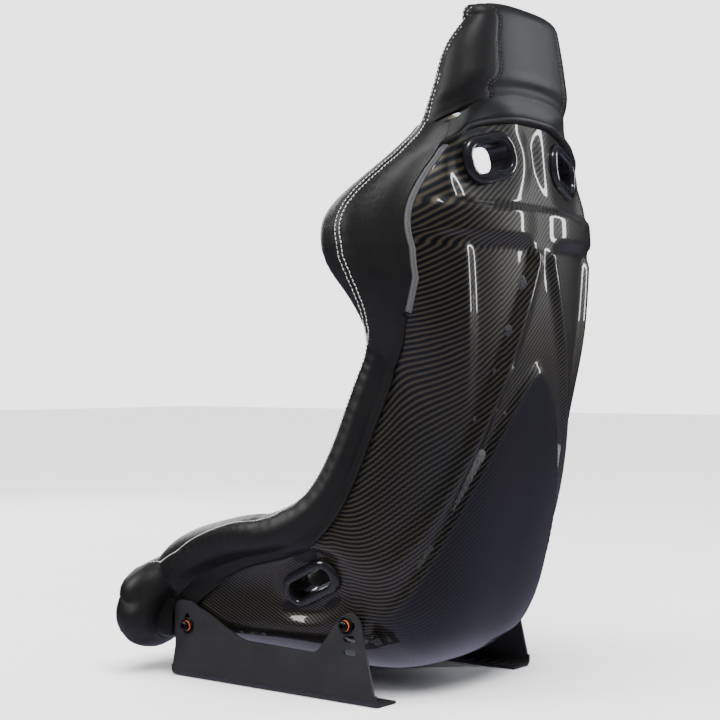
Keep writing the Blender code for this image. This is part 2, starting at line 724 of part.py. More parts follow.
def turned(name, side, centre, profile, collection, closed=True, count=12):
    """Profile of (radius, distance from the mid-plane) carried round a crosswise axis by a Screw."""
    mesh = bpy.data.meshes.new(name)
    edges = [(i, i + 1) for i in range(len(profile) - 1)]
    if closed:
        edges.append((len(profile) - 1, 0))
    mesh.from_pydata([(radius, 0.0, height) for radius, height in profile], edges, [])
    obj = bpy.data.objects.new(name, mesh)
    obj.location = (0.0, centre[0], centre[1])
    obj.rotation_euler = (0.0, side * 0.5 * math.pi, 0.0)
    screw = obj.modifiers.new("turn", "SCREW")
    screw.axis = "Z"
    screw.angle = 2.0 * math.pi
    screw.steps = screw.render_steps = count
    screw.use_merge_vertices = True
    screw.merge_threshold = 0.00001
    collection.objects.link(obj)
    return obj


def ring_profile(inner, outer, low, high):
    return ((inner, high), (outer, high), (outer, low), (inner, low))


# ---------------------------------------------------------------- harness bezels
def outer_bezel_profile(spec, depth):
    r, flange = spec["radius"], spec["flange"]
    wall = r + SLEEVE_WALL
    return ((r, -depth), (wall, -depth), (wall, 0.0006), (r + flange, 0.0006), (r + flange, 0.0030),
            (r + 0.80 * flange, 0.0068), (r + 0.45 * flange, 0.0090), (r + 0.15 * flange, 0.0078),
            (r, 0.0040))


def inner_bezel_profile(spec, depth, face):
    r, flange = spec["radius"], spec["flange"]
    hole = r + SLEEVE_WALL + GAP
    return ((hole, -face), (hole, -face - 0.0045), (r + 0.55 * flange, -face - 0.0058),
            (r + 0.95 * flange, -face - 0.0030), (r + 0.95 * flange, -face))


def cut_tunnel(name, spec, frame, face, hard, soft, collection):
    """Hole for the sleeve through shell and padding, with flat seats for both bezel flanges."""
    outline = rounded_loop(spec["core"], spec["radius"] + SLEEVE_WALL + GAP)
    hole = prism(f"{name}_tunnel", frame, outline, -0.120, 0.040, collection)
    outline = rounded_loop(spec["core"], spec["radius"] + 0.95 * spec["flange"] + GAP)
    seat = prism(f"{name}_seat", frame, outline, -0.125, -face + GAP, collection)
    outline = rounded_loop(spec["core"], spec["radius"] + spec["flange"] + GAP)
    rebate = prism(f"{name}_rebate", frame, outline, GAP, 0.030, collection)
    boolean(hard, rebate)
    boolean(hard, hole)
    if face < 0.040:
        boolean(soft[-1], rebate)
    for pad in soft:
        boolean(pad, seat)
        boolean(pad, hole)


# ---------------------------------------------------------------- brackets
def slot_outline(length, half_width, arc_steps=4):
    half = 0.5 * length - half_width
    outline = []
    for centre, start in ((half, -90.0), (-half, 90.0)):
        for k in range(arc_steps + 1):
            angle = math.radians(start + 180.0 * k / arc_steps)
            outline.append((centre + half_width * math.cos(angle), half_width * math.sin(angle)))
    return outline


def arc_slot_outline(steps=2, cap_steps=5):
    """Slot that follows the path of the front bolt about the rear bolt."""
    dy = FRONT_BOLT[0] - REAR_BOLT[0]
    dz = FRONT_BOLT[1] - REAR_BOLT[1]
    radius = math.hypot(dy, dz)
    middle = math.atan2(dz, dy)
    low = middle - NOSE_UP - 0.001 / radius
    high = middle + NOSE_DOWN + 0.001 / radius
    outline = []
    for k in range(steps + 1):
        angle = low + (high - low) * k / steps
        outline.append(polar(radius + SLOT_HALF_WIDTH, angle))
    outline += slot_end(radius, high, 1.0, cap_steps)
    for k in range(steps + 1):
        angle = high - (high - low) * k / steps
        outline.append(polar(radius - SLOT_HALF_WIDTH, angle))
    outline += slot_end(radius, low, -1.0, cap_steps)
    return outline


def slot_end(radius, angle, sign, steps):
    centre = polar(radius, angle)
    points = []
    for k in range(1, steps):
        turn = angle + (math.pi * k / steps if sign > 0.0 else math.pi + math.pi * k / steps)
        points.append((centre[0] + SLOT_HALF_WIDTH * math.cos(turn),
                       centre[1] + SLOT_HALF_WIDTH * math.sin(turn)))
    return points


def polar(radius, angle):
    return (REAR_BOLT[0] + radius * math.cos(angle), REAR_BOLT[1] + radius * math.sin(angle))


def ear(centre, radius, start, end, steps=5):
    return [(centre[0] + radius * math.cos(math.radians(start + (end - start) * k / steps)),
             centre[1] + radius * math.sin(math.radians(start + (end - start) * k / steps)))
            for k in range(steps + 1)]


def plate_outline():
    """Side view of the bracket plate above its bend, as (y, z)."""
    low = 0.5 * BRACKET_BEND + 0.008
    outline = [(BRACKET_FRONT_Y + 0.0015, low), (-0.2085, 0.045), (-0.2085, 0.088)]
    outline += ear((-0.1965, 0.0985), 0.0120, 170.0, 95.0, 3)
    outline += ear((-0.1790, 0.0985), 0.0115, 85.0, 50.0, 3)
    outline += [(-0.0850, 0.0680), (-0.0700, 0.0645), (0.0480, 0.0620), (0.0580, 0.0660)]
    outline += ear((0.1120, 0.1010), 0.0190, 138.0, 15.0, 7)
    outline += [(BRACKET_REAR_Y - 0.0020, low)]
    return outline


def build_bracket(name, side, collection, cutters):
    thickness = BRACKET_THICKNESS
    outer_x = BRACKET_OUTER_X
    inner_x = outer_x - thickness
    profile = [(outer_x, 0.016), (inner_x, 0.016)]
    centre = (outer_x - BRACKET_BEND - thickness, BRACKET_BEND + thickness)
    for k in range(5):
        angle = math.radians(0.0 - 90.0 * k / 4)
        profile.append((centre[0] + BRACKET_BEND * math.cos(angle), centre[1] + BRACKET_BEND * math.sin(angle)))
    profile += [(outer_x - BRACKET_FLANGE, thickness), (outer_x - BRACKET_FLANGE, 0.0)]
    for k in range(5):
        angle = math.radians(-90.0 + 90.0 * k / 4)
        reach = BRACKET_BEND + thickness
        profile.append((centre[0] + reach * math.cos(angle), centre[1] + reach * math.sin(angle)))
    frame = (np.array([0.0, BRACKET_FRONT_Y, 0.0]), np.array([side, 0.0, 0.0]), np.array([0.0, 0.0, 1.0]),
             np.array([0.0, 1.0, 0.0]))
    length = BRACKET_REAR_Y - BRACKET_FRONT_Y
    angle_iron = prism(name, frame, drop_repeats(profile), 0.0, length, collection)
    plate = prism(f"{name}_plate", x_frame(side, 0.0, 0.0), plate_outline(), inner_x, outer_x, cutters)
    boolean(angle_iron, plate, "UNION")
    low, high = inner_x - 0.004, outer_x + 0.004
    for row in range(3):
        frame = x_frame(side, REAR_BOLT[0] + 0.0055, REAR_BOLT[1] - row * REAR_SLOT_PITCH)
        tool = prism(f"{name}_rear_slot_{row}", frame, slot_outline(REAR_SLOT_LENGTH, SLOT_HALF_WIDTH), low, high,
                     cutters)
        boolean(angle_iron, tool)
    tool = prism(f"{name}_front_slot", x_frame(side, 0.0, 0.0), arc_slot_outline(), low, high, cutters)
    boolean(angle_iron, tool)
    flange_x = outer_x - 0.5 * BRACKET_FLANGE - 0.003
    for end, start in (("rear", BRACKET_REAR_Y - 0.024), ("front", BRACKET_FRONT_Y + 0.024)):
        for k in range(5):
            y = start - k * FLANGE_SLOT_PITCH if end == "rear" else start + k * FLANGE_SLOT_PITCH
            frame = (np.array([side * flange_x, y, 0.0]), np.array([1.0, 0.0, 0.0]), np.array([0.0, 1.0, 0.0]),
                     np.array([0.0, 0.0, 1.0]))
            tool = prism(f"{name}_{end}_foot_slot_{k}", frame,
                         slot_outline(FLANGE_SLOT_LENGTH, SLOT_HALF_WIDTH, 3), -0.003, 0.008, cutters)
            boolean(angle_iron, tool)
    return angle_iron


# ---------------------------------------------------------------- fasteners
def build_fasteners(side_name, side, collection):
    washer = BRACKET_OUTER_X + GAP
    spring = washer + WASHER_THICKNESS + GAP
    head = spring + SPRING_WASHER_THICKNESS + GAP
    top = head + HEAD_HEIGHT
    inner = SIDE_FACE_X - SHELL_THICKNESS - GAP
    bore = BOLT_RADIUS + GAP
    bolt = ((0.0, top - SOCKET_DEPTH), (SOCKET_RADIUS, top - SOCKET_DEPTH), (SOCKET_RADIUS, top),
            (0.62 * HEAD_RADIUS, top), (0.90 * HEAD_RADIUS, top - 0.0012), (HEAD_RADIUS, head + 0.0016),
            (HEAD_RADIUS, head), (BOLT_RADIUS, head), (BOLT_RADIUS, BOLT_TIP_X + 0.0010),
            (BOLT_RADIUS - 0.0010, BOLT_TIP_X), (0.0, BOLT_TIP_X))
    insert = ((bore, SIDE_FACE_X - GAP), (INSERT_RADIUS, SIDE_FACE_X - GAP), (INSERT_RADIUS, inner),
              (INSERT_FLANGE, inner), (INSERT_FLANGE, inner - 0.0018), (bore, inner - 0.0018))
    for end, centre in (("front", FRONT_BOLT), ("rear", REAR_BOLT)):
        tag = f"{end}_{side_name}"
        turned(f"spacer_{tag}", side, centre,
               ring_profile(bore, SPACER_RADIUS, SIDE_FACE_X + GAP, BRACKET_OUTER_X - BRACKET_THICKNESS - GAP),
               collection)
        turned(f"washer_{tag}", side, centre,
               ring_profile(bore, WASHER_RADIUS, washer, washer + WASHER_THICKNESS), collection)
        turned(f"spring_washer_{tag}", side, centre,
               ring_profile(bore, SPRING_WASHER_RADIUS, spring, spring + SPRING_WASHER_THICKNESS), collection)
        turned(f"bolt_{tag}", side, centre, bolt, collection, closed=False)
        turned(f"threaded_insert_{tag}", side, centre, insert, collection)


# ---------------------------------------------------------------- assembly
def centre_on_ground(*collections):
    """Bring the middle of the footprint over the origin."""
    for collection in collections:
        for obj in collection.objects:
            obj.location.y += FOOTPRINT_SHIFT


def hang_on_tilt_axis(collection):
    """Everything but the brackets turns about the axis through the rear bolts."""
    axis = bpy.data.objects.new("seat_tilt_axis", None)
    axis.location = (0.0, REAR_BOLT[0] + FOOTPRINT_SHIFT, REAR_BOLT[1])
    axis.empty_display_size = 0.05
    parts = [obj for obj in collection.objects if not obj.name.startswith("bracket")]
    collection.objects.link(axis)
    bpy.context.view_layer.update()
    for obj in parts:
        obj.parent = axis
        obj.matrix_parent_inverse = axis.matrix_world.inverted()


def paint(collection):
    looks = {
        "shell": material("carbon", (0.030, 0.033, 0.038), 0.18, coat=1.0),
        "seat_cushion": material("insert_fabric", (0.020, 0.020, 0.022), 0.85),
        "lumbar_pad": material("lumbar_fabric", (0.020, 0.020, 0.022), 0.85),
        "back_pad": material("back_fabric", (0.020, 0.020, 0.022), 0.85),
        "side_bolster": material("leather", (0.016, 0.016, 0.017), 0.45),
        "headrest": material("headrest_leather", (0.016, 0.016, 0.017), 0.50),
        "edge_trim": material("trim_tape", (0.050, 0.050, 0.054), 0.55),
        "bracket": material("powder_coat", (0.014, 0.014, 0.015), 0.50, metallic=0.2),
        "spring_washer": material("red_washer", (0.500, 0.090, 0.030), 0.50),
        "bolt": material("black_steel", (0.050, 0.050, 0.052), 0.35, metallic=0.9),
    }
    bezel = material("gloss_plastic", (0.010, 0.010, 0.011), 0.15)
    steel = material("zinc_steel", (0.420, 0.430, 0.440), 0.35, metallic=1.0)
    for obj in collection.objects:
        if obj.type != "MESH":
            continue
        chosen = bezel if "bezel" in obj.name else steel
        for key, look in looks.items():
            if obj.name.startswith(key):
                chosen = look
        obj.data.materials.append(chosen)


def main():
    clear_scene()
    seat = new_collection("racing_seat")
    cutters = new_collection("cutters")

    shell = build_shell(seat)
    seat_end = ROW_OF_STATION[STATION_SEAT_END]
    lumbar_end = ROW_OF_STATION[STATION_LUMBAR_END]
    head = ROW_OF_STATION[STATION_HEAD]
    half_gap = CLEAR
    seat_cushion = sheet_solid("seat_cushion", *pad_grid(1, seat_end, SEAT_PAD, 0.024, None, half_gap), seat)
    lumbar_pad = sheet_solid("lumbar_pad", *pad_grid(seat_end, lumbar_end, BACK_PAD + 0.010, 0.024, half_gap,
                                                     half_gap), seat)
    back_pad = sheet_solid("back_pad", *pad_grid(lumbar_end, head, BACK_PAD, 0.020, half_gap, half_gap), seat)
    inner, outer = bolster_grids(head)
    turn = COLUMNS_BOLSTER + COLUMNS_HEM + 2
    bolsters = {"left": sheet_solid("side_bolster_left", outer, inner, seat, lambda j: j < turn),
                "right": sheet_solid("side_bolster_right", flip_x(outer), flip_x(inner), seat,
                                     lambda j: j < turn)}
    low, high = trim_grids(ROW_OF_STATION[13] + 1, head)
    sheet_solid("edge_trim_left", high, low, seat)
    sheet_solid("edge_trim_right", flip_x(high), flip_x(low), seat)
    build_headrest(seat)

    for side_name, side in (("left", 1.0), ("right", -1.0)):
        frame = mirrored(SHOULDER, side)
        face = SHOULDER_DEPTH - 0.0045
        swept_ring(f"shoulder_bezel_rear_{side_name}", frame, SHOULDER["core"],
                   outer_bezel_profile(SHOULDER, SHOULDER_DEPTH), seat)
        swept_ring(f"shoulder_bezel_front_{side_name}", frame, SHOULDER["core"],
                   inner_bezel_profile(SHOULDER, SHOULDER_DEPTH, face), seat)
        cut_tunnel(f"shoulder_{side_name}", SHOULDER, frame, face, shell, (back_pad, bolsters[side_name]), cutters)

        frame = mirrored(LAP, side)
        face = LAP_DEPTH - 0.0045
        swept_ring(f"lap_bezel_outer_{side_name}", frame, LAP["core"], outer_bezel_profile(LAP, LAP_DEPTH), seat)
        swept_ring(f"lap_bezel_inner_{side_name}", frame, LAP["core"],
                   inner_bezel_profile(LAP, LAP_DEPTH, face), seat)
        cut_tunnel(f"lap_{side_name}", LAP, frame, face, shell, (bolsters[side_name],), cutters)

        build_bracket(f"bracket_{side_name}", side, seat, cutters)
        build_fasteners(side_name, side, seat)
        for end, (y, z) in (("front", FRONT_BOLT), ("rear", REAR_BOLT)):
            hole = prism(f"insert_hole_{end}_{side_name}", x_frame(side, y, z), circle(0.0060), 0.150, 0.200,
                         cutters)
            boolean(shell, hole)
            face = prism(f"spot_face_{end}_{side_name}", x_frame(side, y, z), circle(0.0128), SIDE_FACE_X,
                         0.200, cutters)
            boolean(shell, face)
            face = prism(f"inner_spot_face_{end}_{side_name}", x_frame(side, y, z), circle(0.0103), 0.150,
                         SIDE_FACE_X - SHELL_THICKNESS, cutters)
            boolean(shell, face)
            pocket = prism(f"insert_pocket_{end}_{side_name}", x_frame(side, y, z), circle(0.0108),
                           BOLT_TIP_X - 0.003, 0.190, cutters)
            boolean(bolsters[side_name], pocket)

    frame = mirrored(CROTCH, 1.0)
    face = CROTCH_DEPTH - 0.0045
    swept_ring("crotch_bezel_lower", frame, CROTCH["core"], outer_bezel_profile(CROTCH, CROTCH_DEPTH), seat)
    swept_ring("crotch_bezel_upper", frame, CROTCH["core"], inner_bezel_profile(CROTCH, CROTCH_DEPTH, face), seat)
    cut_tunnel("crotch", CROTCH, frame, face, shell, (seat_cushion,), cutters)
    centre_on_ground(seat, cutters)
    hang_on_tilt_axis(seat)
    paint(seat)


main()
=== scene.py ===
"""Visual model of the fixed-back racing seat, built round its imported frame.

Frame: +Z up, the seat faces -Y, the occupant's left is +X, the ground is z = 0, metres.
"""

import math

import bmesh
import bpy
import numpy as np
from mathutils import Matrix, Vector


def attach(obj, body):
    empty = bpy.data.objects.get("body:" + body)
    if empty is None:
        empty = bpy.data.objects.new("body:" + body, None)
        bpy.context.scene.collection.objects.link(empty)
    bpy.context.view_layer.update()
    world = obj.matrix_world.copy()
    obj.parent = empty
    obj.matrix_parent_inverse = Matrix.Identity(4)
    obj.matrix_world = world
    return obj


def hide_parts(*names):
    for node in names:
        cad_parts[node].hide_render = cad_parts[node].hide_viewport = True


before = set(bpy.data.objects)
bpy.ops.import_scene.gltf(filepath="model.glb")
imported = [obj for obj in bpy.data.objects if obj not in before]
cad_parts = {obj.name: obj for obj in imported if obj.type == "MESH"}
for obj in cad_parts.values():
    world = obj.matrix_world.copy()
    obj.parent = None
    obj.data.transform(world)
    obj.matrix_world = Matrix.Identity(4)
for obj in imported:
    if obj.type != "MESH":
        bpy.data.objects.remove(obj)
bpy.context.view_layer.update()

# ---------------------------------------------------------------- dimensions shared with the solids
FOOTPRINT_SHIFT = 0.0090
CLEAR = 0.0005
SHELL_THICKNESS = 0.004
SIDE_FACE_X = 0.1805
SIDE_FACE_TOP = 0.128
SIDE_FLARE_HEIGHT = 0.090
SIDE_FLARE = 0.050
SIDE_FACE_FRONT = -0.219
BRACKET_OUTER_X = 0.1910
REAR_BOLT = (0.1065, 0.1034)
FRONT_BOLT = (-0.1835, 0.0745)
GAP = 0.0003
BACK_PAD = 0.026
SEAT_PAD = 0.046
ROLL_SIDE = 0.0185
ROLL_FRONT = 0.0300
HEADREST_BACK = 0.0130
HEADREST_FRONT = 0.0260
CROWN_ROUND = 0.0185
FRONT_LEG = 0.012
END_GAP = 0.0015
SEAM_INSET = 0.0012
SLEEVE_WALL = 0.0025
INSERT_HOLE = 0.0062
COLUMNS_PAD = 5
COLUMNS_BOLSTER = 3
COLUMNS_HEM = 3

# spine (y, z), rim (x, y, z), squareness of the section (across, in depth), front lip to crown
STATIONS = np.array([
    (-0.2985, 0.0705, 0.006, -0.2990, 0.0705, 2.0, 2.0),
    (-0.272, 0.056, 0.112, -0.2920, 0.0620, 2.4, 2.0),
    (-0.235, 0.047, 0.186, -0.2740, 0.0600, 2.6, 2.0),
    (-0.190, 0.041, 0.224, -0.2560, 0.0930, 2.6, 2.0),
    (-0.145, 0.035, 0.231, -0.2240, 0.1450, 2.6, 2.0),
    (-0.090, 0.029, 0.232, -0.1640, 0.1830, 2.6, 2.0),
    (-0.030, 0.025, 0.231, -0.0850, 0.2050, 2.6, 2.0),
    (0.055, 0.024, 0.223, 0.0050, 0.2270, 2.8, 2.2),
    (0.135, 0.033, 0.214, 0.0700, 0.2620, 3.0, 2.4),
    (0.193, 0.075, 0.206, 0.1050, 0.3120, 3.1, 2.5),
    (0.222, 0.150, 0.200, 0.1290, 0.3680, 3.1, 2.5),
    (0.243, 0.240, 0.196, 0.1510, 0.4250, 3.1, 2.5),
    (0.265, 0.340, 0.198, 0.1700, 0.4750, 3.0, 2.4),
    (0.283, 0.440, 0.222, 0.1670, 0.5270, 2.8, 2.1),
    (0.293, 0.540, 0.253, 0.1450, 0.5800, 2.6, 1.9),
    (0.295, 0.620, 0.258, 0.1390, 0.6280, 2.6, 1.9),
    (0.290, 0.700, 0.215, 0.1670, 0.6880, 2.8, 2.0),
    (0.279, 0.770, 0.155, 0.1960, 0.7500, 3.2, 2.2),
    (0.268, 0.840, 0.121, 0.2120, 0.8200, 3.6, 2.4),
    (0.2630, 0.880, 0.112, 0.2220, 0.8640, 3.4, 2.3),
    (0.2600, 0.911, 0.097, 0.2360, 0.8980, 3.2, 2.2),
])
STATION_SEAT_END = 9
STATION_LUMBAR_END = 12
STATION_HEAD = 17
SHOULDER = {"centre": (0.092, 0.267, 0.718), "along": (-0.945, 0.20, 0.25),
            "out": (0.225, 0.970, 0.090), "core": (0.020, 0.004), "radius": 0.014, "flange": 0.015}
LAP = {"centre": (0.1865, 0.0450, 0.1540), "along": (0.10, 0.905, 0.415),
       "out": (0.950, 0.020, -0.310), "core": (0.0270, 0.0), "radius": 0.012, "flange": 0.014}
CROTCH = {"centre": (0.0, -0.120, 0.032), "along": (1.0, 0.0, 0.0),
          "out": (0.0, -0.09, -0.996), "core": (0.019, 0.0), "radius": 0.011, "flange": 0.012}
SHOULDER_DEPTH = 0.033
LAP_DEPTH = 0.034
CROTCH_DEPTH = 0.052


# ---------------------------------------------------------------- loft
def unit(vector):
    vector = np.asarray(vector, float)
    return vector / np.maximum(np.linalg.norm(vector, axis=-1, keepdims=True), 1e-12)


def ease(value):
    value = np.clip(value, 0.0, 1.0)
    return value * value * (3.0 - 2.0 * value)


def spline_through(knots, values):
    """Natural cubic spline through the station values."""
    count = len(knots)
    step = np.diff(knots)
    matrix = np.zeros((count, count))
    right = np.zeros((count, values.shape[1]))
    matrix[0, 0] = matrix[-1, -1] = 1.0
    for i in range(1, count - 1):
        matrix[i, i - 1:i + 2] = step[i - 1], 2.0 * (step[i - 1] + step[i]), step[i]
        right[i] = 6.0 * ((values[i + 1] - values[i]) / step[i] - (values[i] - values[i - 1]) / step[i - 1])
    bend = np.linalg.solve(matrix, right)

    def evaluate(v):
        i = int(np.clip(np.searchsorted(knots, v) - 1, 0, count - 2))
        h = step[i]
        after = knots[i + 1] - v
        before = v - knots[i]
        curve = (bend[i] * after ** 3 + bend[i + 1] * before ** 3) / (6.0 * h)
        low = (values[i] / h - bend[i] * h / 6.0) * after
        high = (values[i + 1] / h - bend[i + 1] * h / 6.0) * before
        return curve + low + high
    return evaluate


def station_knots():
    spine = np.linalg.norm(np.diff(STATIONS[:, :2], axis=0), axis=1)
    rim = np.linalg.norm(np.diff(STATIONS[:, 2:5], axis=0), axis=1)
    knots = np.concatenate([[0.0], np.cumsum(0.5 * (spine + rim))])
    return knots / knots[-1], knots[-1]


KNOTS, LOFT_LENGTH = station_knots()
STATION_AT = spline_through(KNOTS, STATIONS)
SWEEP = np.linspace(0.0, 0.5 * math.pi, 241)
HEAD = KNOTS[STATION_HEAD]


def soft_min(a, b, radius=0.012):
    k = np.clip(0.5 + 0.5 * (b - a) / radius, 0.0, 1.0)
    return b * (1.0 - k) + a * k - radius * k * (1.0 - k)


def half_section(v):
    y0, z0, width, y1, z1, across, depth = STATION_AT(v)
    rise = 1.0 - np.cos(SWEEP) ** (2.0 / depth)
    x = width * np.sin(SWEEP) ** (2.0 / across)
    y = y0 + (y1 - y0) * rise
    z = z0 + (z1 - z0) * rise
    flare = np.clip((z - SIDE_FACE_TOP) / SIDE_FLARE_HEIGHT, 0.0, 1.4) ** 2
    lip = ease((SIDE_FACE_FRONT - y) / 0.030)
    x = soft_min(x, SIDE_FACE_X + SIDE_FLARE * np.maximum(flare, lip))
    points = np.stack([x, y, z], axis=1)
    along = np.concatenate([[0.0], np.cumsum(np.linalg.norm(np.diff(points, axis=0), axis=1))])
    return points, along


def section_length(v):
    return half_section(v)[1][-1]


def base_row(t, v):
    points, along = half_section(v)
    where = np.abs(t) * along[-1]
    row = np.stack([np.interp(where, along, points[:, k]) for k in range(3)], axis=1)
    row[:, 0] *= np.where(np.asarray(t) < 0.0, -1.0, 1.0)
    return row


def frame_row(t, v, e=0.006):
    t = np.asarray(t, float)
    v0, v1 = max(0.0, v - e), min(1.0, v + e)
    forward = unit(base_row(t, v1) - base_row(t, v0))
    across = unit(base_row(np.clip(t + e, -1.0, 1.0), v) - base_row(np.clip(t - e, -1.0, 1.0), v))
    normal = unit(np.cross(forward, across))
    return base_row(t, v), normal, forward


def arch_top(x):
    return 0.451 - 4.39 * np.abs(x) ** 1.494


def relief(points, normals):
    """Raised and sunk features moulded into the back, as a height along the normal."""
    x = np.abs(points[:, 0])
    z = points[:, 2]
    facing = ease((normals[:, 1] - 0.30) / 0.30)
    wide = ease((0.205 - x) / 0.030)
    shelf = -0.0105 * ease((z - 0.652) / 0.012) * ease((0.800 - z) / 0.060) * ease((0.172 - x) / 0.030)
    brow = 0.0055 * ease((z - 0.610) / 0.010) * ease((0.662 - z) / 0.014) * wide * ease((x - 0.012) / 0.05)
    ridge_x = 0.020 + 0.145 * np.clip((0.585 - z) / 0.375, 0.0, 1.2)
    fade = ease((0.604 - z) / 0.010) * ease((z - 0.13) / 0.10)
    ridge = 0.0075 * np.exp(-((x - ridge_x) / 0.0125) ** 2) * fade
    flank_x = 0.158 - 0.10 * np.clip((0.60 - z), 0.0, 0.3)
    flank = 0.0045 * np.exp(-((x - flank_x) / 0.013) ** 2)
    flank = flank * ease((0.606 - z) / 0.02) * ease((z - 0.38) / 0.14)
    wedge = ease((x - ridge_x) / 0.016) * ease((flank_x - x) / 0.022)
    hollow = -0.0050 * wedge * ease((0.609 - z) / 0.007) * ease((z - 0.30) / 0.16)
    below = arch_top(x) - z
    panel = 0.0060 * ease(below / 0.016) * ease((z - 0.03) / 0.06)
    bead = 0.0022 * np.exp(-((below - 0.010) / 0.0055) ** 2) * ease((z - 0.10) / 0.10)
    return facing * (shelf + brow + ridge + flank + hollow + panel + bead)


def mirrored(spec, side):
    flip = np.array([side, 1.0, 1.0])
    centre = np.array(spec["centre"]) * flip
    out = unit(np.array(spec["out"]) * flip)
    along = np.array(spec["along"]) * flip
    along = unit(along - out * np.dot(along, out))
    return centre, along, unit(np.cross(out, along)), out


def x_frame(side, y, z, x=0.0):
    return (np.array([side * x, y, z]), np.array([0.0, 1.0, 0.0]), np.array([0.0, 0.0, 1.0]),
            np.array([side, 0.0, 0.0]))


def flatten(points, spec, inner, outer, stretch=1.0):
    centre, along, across, out = spec
    offset = points - centre
    height = offset @ out
    radius = np.hypot(offset @ along, stretch * (offset @ across))
    weight = ease((outer - radius) / (outer - inner)) * ease((0.040 - np.abs(height)) / 0.015)
    return points - (height * weight)[:, None] * out


def shell_row(t, v):
    points, normal, forward = frame_row(t, v)
    points = points + normal * relief(points, normal)[:, None]
    for side in (1.0, -1.0):
        points = flatten(points, mirrored(SHOULDER, side), 0.060, 0.094, 1.25)
        points = flatten(points, mirrored(LAP, side), 0.058, 0.086, 1.6)
        for y, z in (FRONT_BOLT, REAR_BOLT):
            points = flatten(points, x_frame(side, y, z, SIDE_FACE_X), 0.014, 0.030)
    points = flatten(points, mirrored(CROTCH, 1.0), 0.044, 0.064, 1.6)
    return points, normal, forward


def bolster_depth(v):
    stations = (KNOTS[0], KNOTS[1], KNOTS[2], KNOTS[3], KNOTS[4], KNOTS[6], KNOTS[8], KNOTS[11], KNOTS[14],
                KNOTS[16], KNOTS[17], 1.0)
    depth = (0.018, 0.030, 0.064, 0.108, 0.140, 0.175, 0.205, 0.160, 0.165, 0.098, 0.070, 0.060)
    return min(np.interp(v, stations, depth), 0.62 * section_length(v))


def hem_depth(v):
    stations = (KNOTS[0], KNOTS[3], KNOTS[5], KNOTS[8], KNOTS[12], KNOTS[13], KNOTS[14], KNOTS[15],
                KNOTS[16], KNOTS[17], 1.0)
    depth = (0.050, 0.036, 0.036, 0.026, 0.024, 0.055, 0.098, 0.104, 0.074, 0.044, 0.030)
    return min(np.interp(v, stations, depth), 0.60 * bolster_depth(v) + 0.012)


def roll_radius(v):
    stations = (KNOTS[0], KNOTS[2], KNOTS[4], KNOTS[6], KNOTS[12], KNOTS[14], KNOTS[15], KNOTS[17], 1.0)
    radius = (ROLL_FRONT, ROLL_FRONT, 0.024, 0.020, ROLL_SIDE, 0.021, 0.021, ROLL_SIDE, ROLL_SIDE)
    return np.interp(v, stations, radius)


def columns(v):
    length = section_length(v)
    edge = 1.0 - bolster_depth(v) / length
    hem = 1.0 - min(hem_depth(v), 0.8 * bolster_depth(v)) / length
    half = np.concatenate([np.linspace(0.0, edge, COLUMNS_PAD + 1),
                           np.linspace(edge, hem, COLUMNS_BOLSTER + 1)[1:],
                           np.linspace(hem, 1.0, COLUMNS_HEM + 1)[1:]])
    return np.concatenate([-half[:0:-1], half])


EDGE = COLUMNS_PAD
HEM = COLUMNS_PAD + COLUMNS_BOLSTER
MIDDLE = COLUMNS_PAD + COLUMNS_BOLSTER + COLUMNS_HEM


def rim_outward(v, normal, points):
    """Direction in the surface, square to the left rim and pointing off it."""
    e = 0.004
    ends = base_row(np.array([1.0]), min(1.0, v + e)) - base_row(np.array([1.0]), max(0.0, v - e))
    outward = unit(np.cross(unit(ends[0]), normal))
    if np.dot(outward, points[-2] - points[-1]) > 0.0:
        outward = -outward
    return outward


def section(v):
    """Coarse cross-section: points, normals, forward tangents and the rim's outward direction."""
    points, normal, forward = shell_row(columns(v), v)
    out = rim_outward(v, normal[-1], points)
    flat = np.array([0.0, 1.0, 1.0])
    share = ease(v / (0.5 * KNOTS[1]))
    out = unit(unit(out * flat) * (1.0 - share) + out * share)
    normal = unit(unit(normal * flat) * (1.0 - share) + normal * share)
    return points, normal, forward, out


def resample(points, count, closed=False):
    """Smooth curve through the points, read at equal steps of its chord length."""
    points = np.asarray(points, float)
    if closed:
        points = np.concatenate([points[-2:], points, points[:3]])
    chord = np.maximum(np.linalg.norm(np.diff(points, axis=0), axis=1), 1e-7)
    slope = np.diff(points, axis=0) / chord[:, None]
    tangent = np.empty_like(points)
    tangent[1:-1] = ((slope[:-1] * chord[1:, None] + slope[1:] * chord[:-1, None])
                     / (chord[:-1] + chord[1:])[:, None])
    tangent[0], tangent[-1] = slope[0], slope[-1]
    along = np.concatenate([[0.0], np.cumsum(chord)])
    if closed:
        where = np.linspace(along[2], along[-3], count, endpoint=False)
    else:
        where = np.linspace(0.0, along[-1], count)
    i = np.clip(np.searchsorted(along, where, side="right") - 1, 0, len(chord) - 1)
    h = chord[i]
    s = ((where - along[i]) / h)[:, None]
    h = h[:, None]
    return ((2 * s ** 3 - 3 * s ** 2 + 1) * points[i] + (s ** 3 - 2 * s ** 2 + s) * h * tangent[i]
            + (-2 * s ** 3 + 3 * s ** 2) * points[i + 1] + (s ** 3 - s ** 2) * h * tangent[i + 1])


def relax_row(row, passes, last):
    row = row.copy()
    stop = len(row) + last
    for _ in range(passes):
        mean = 0.5 * (row[:-2] + row[2:])
        row[1:stop] += 0.5 * (mean - row[1:-1])[:stop - 1]
    return row


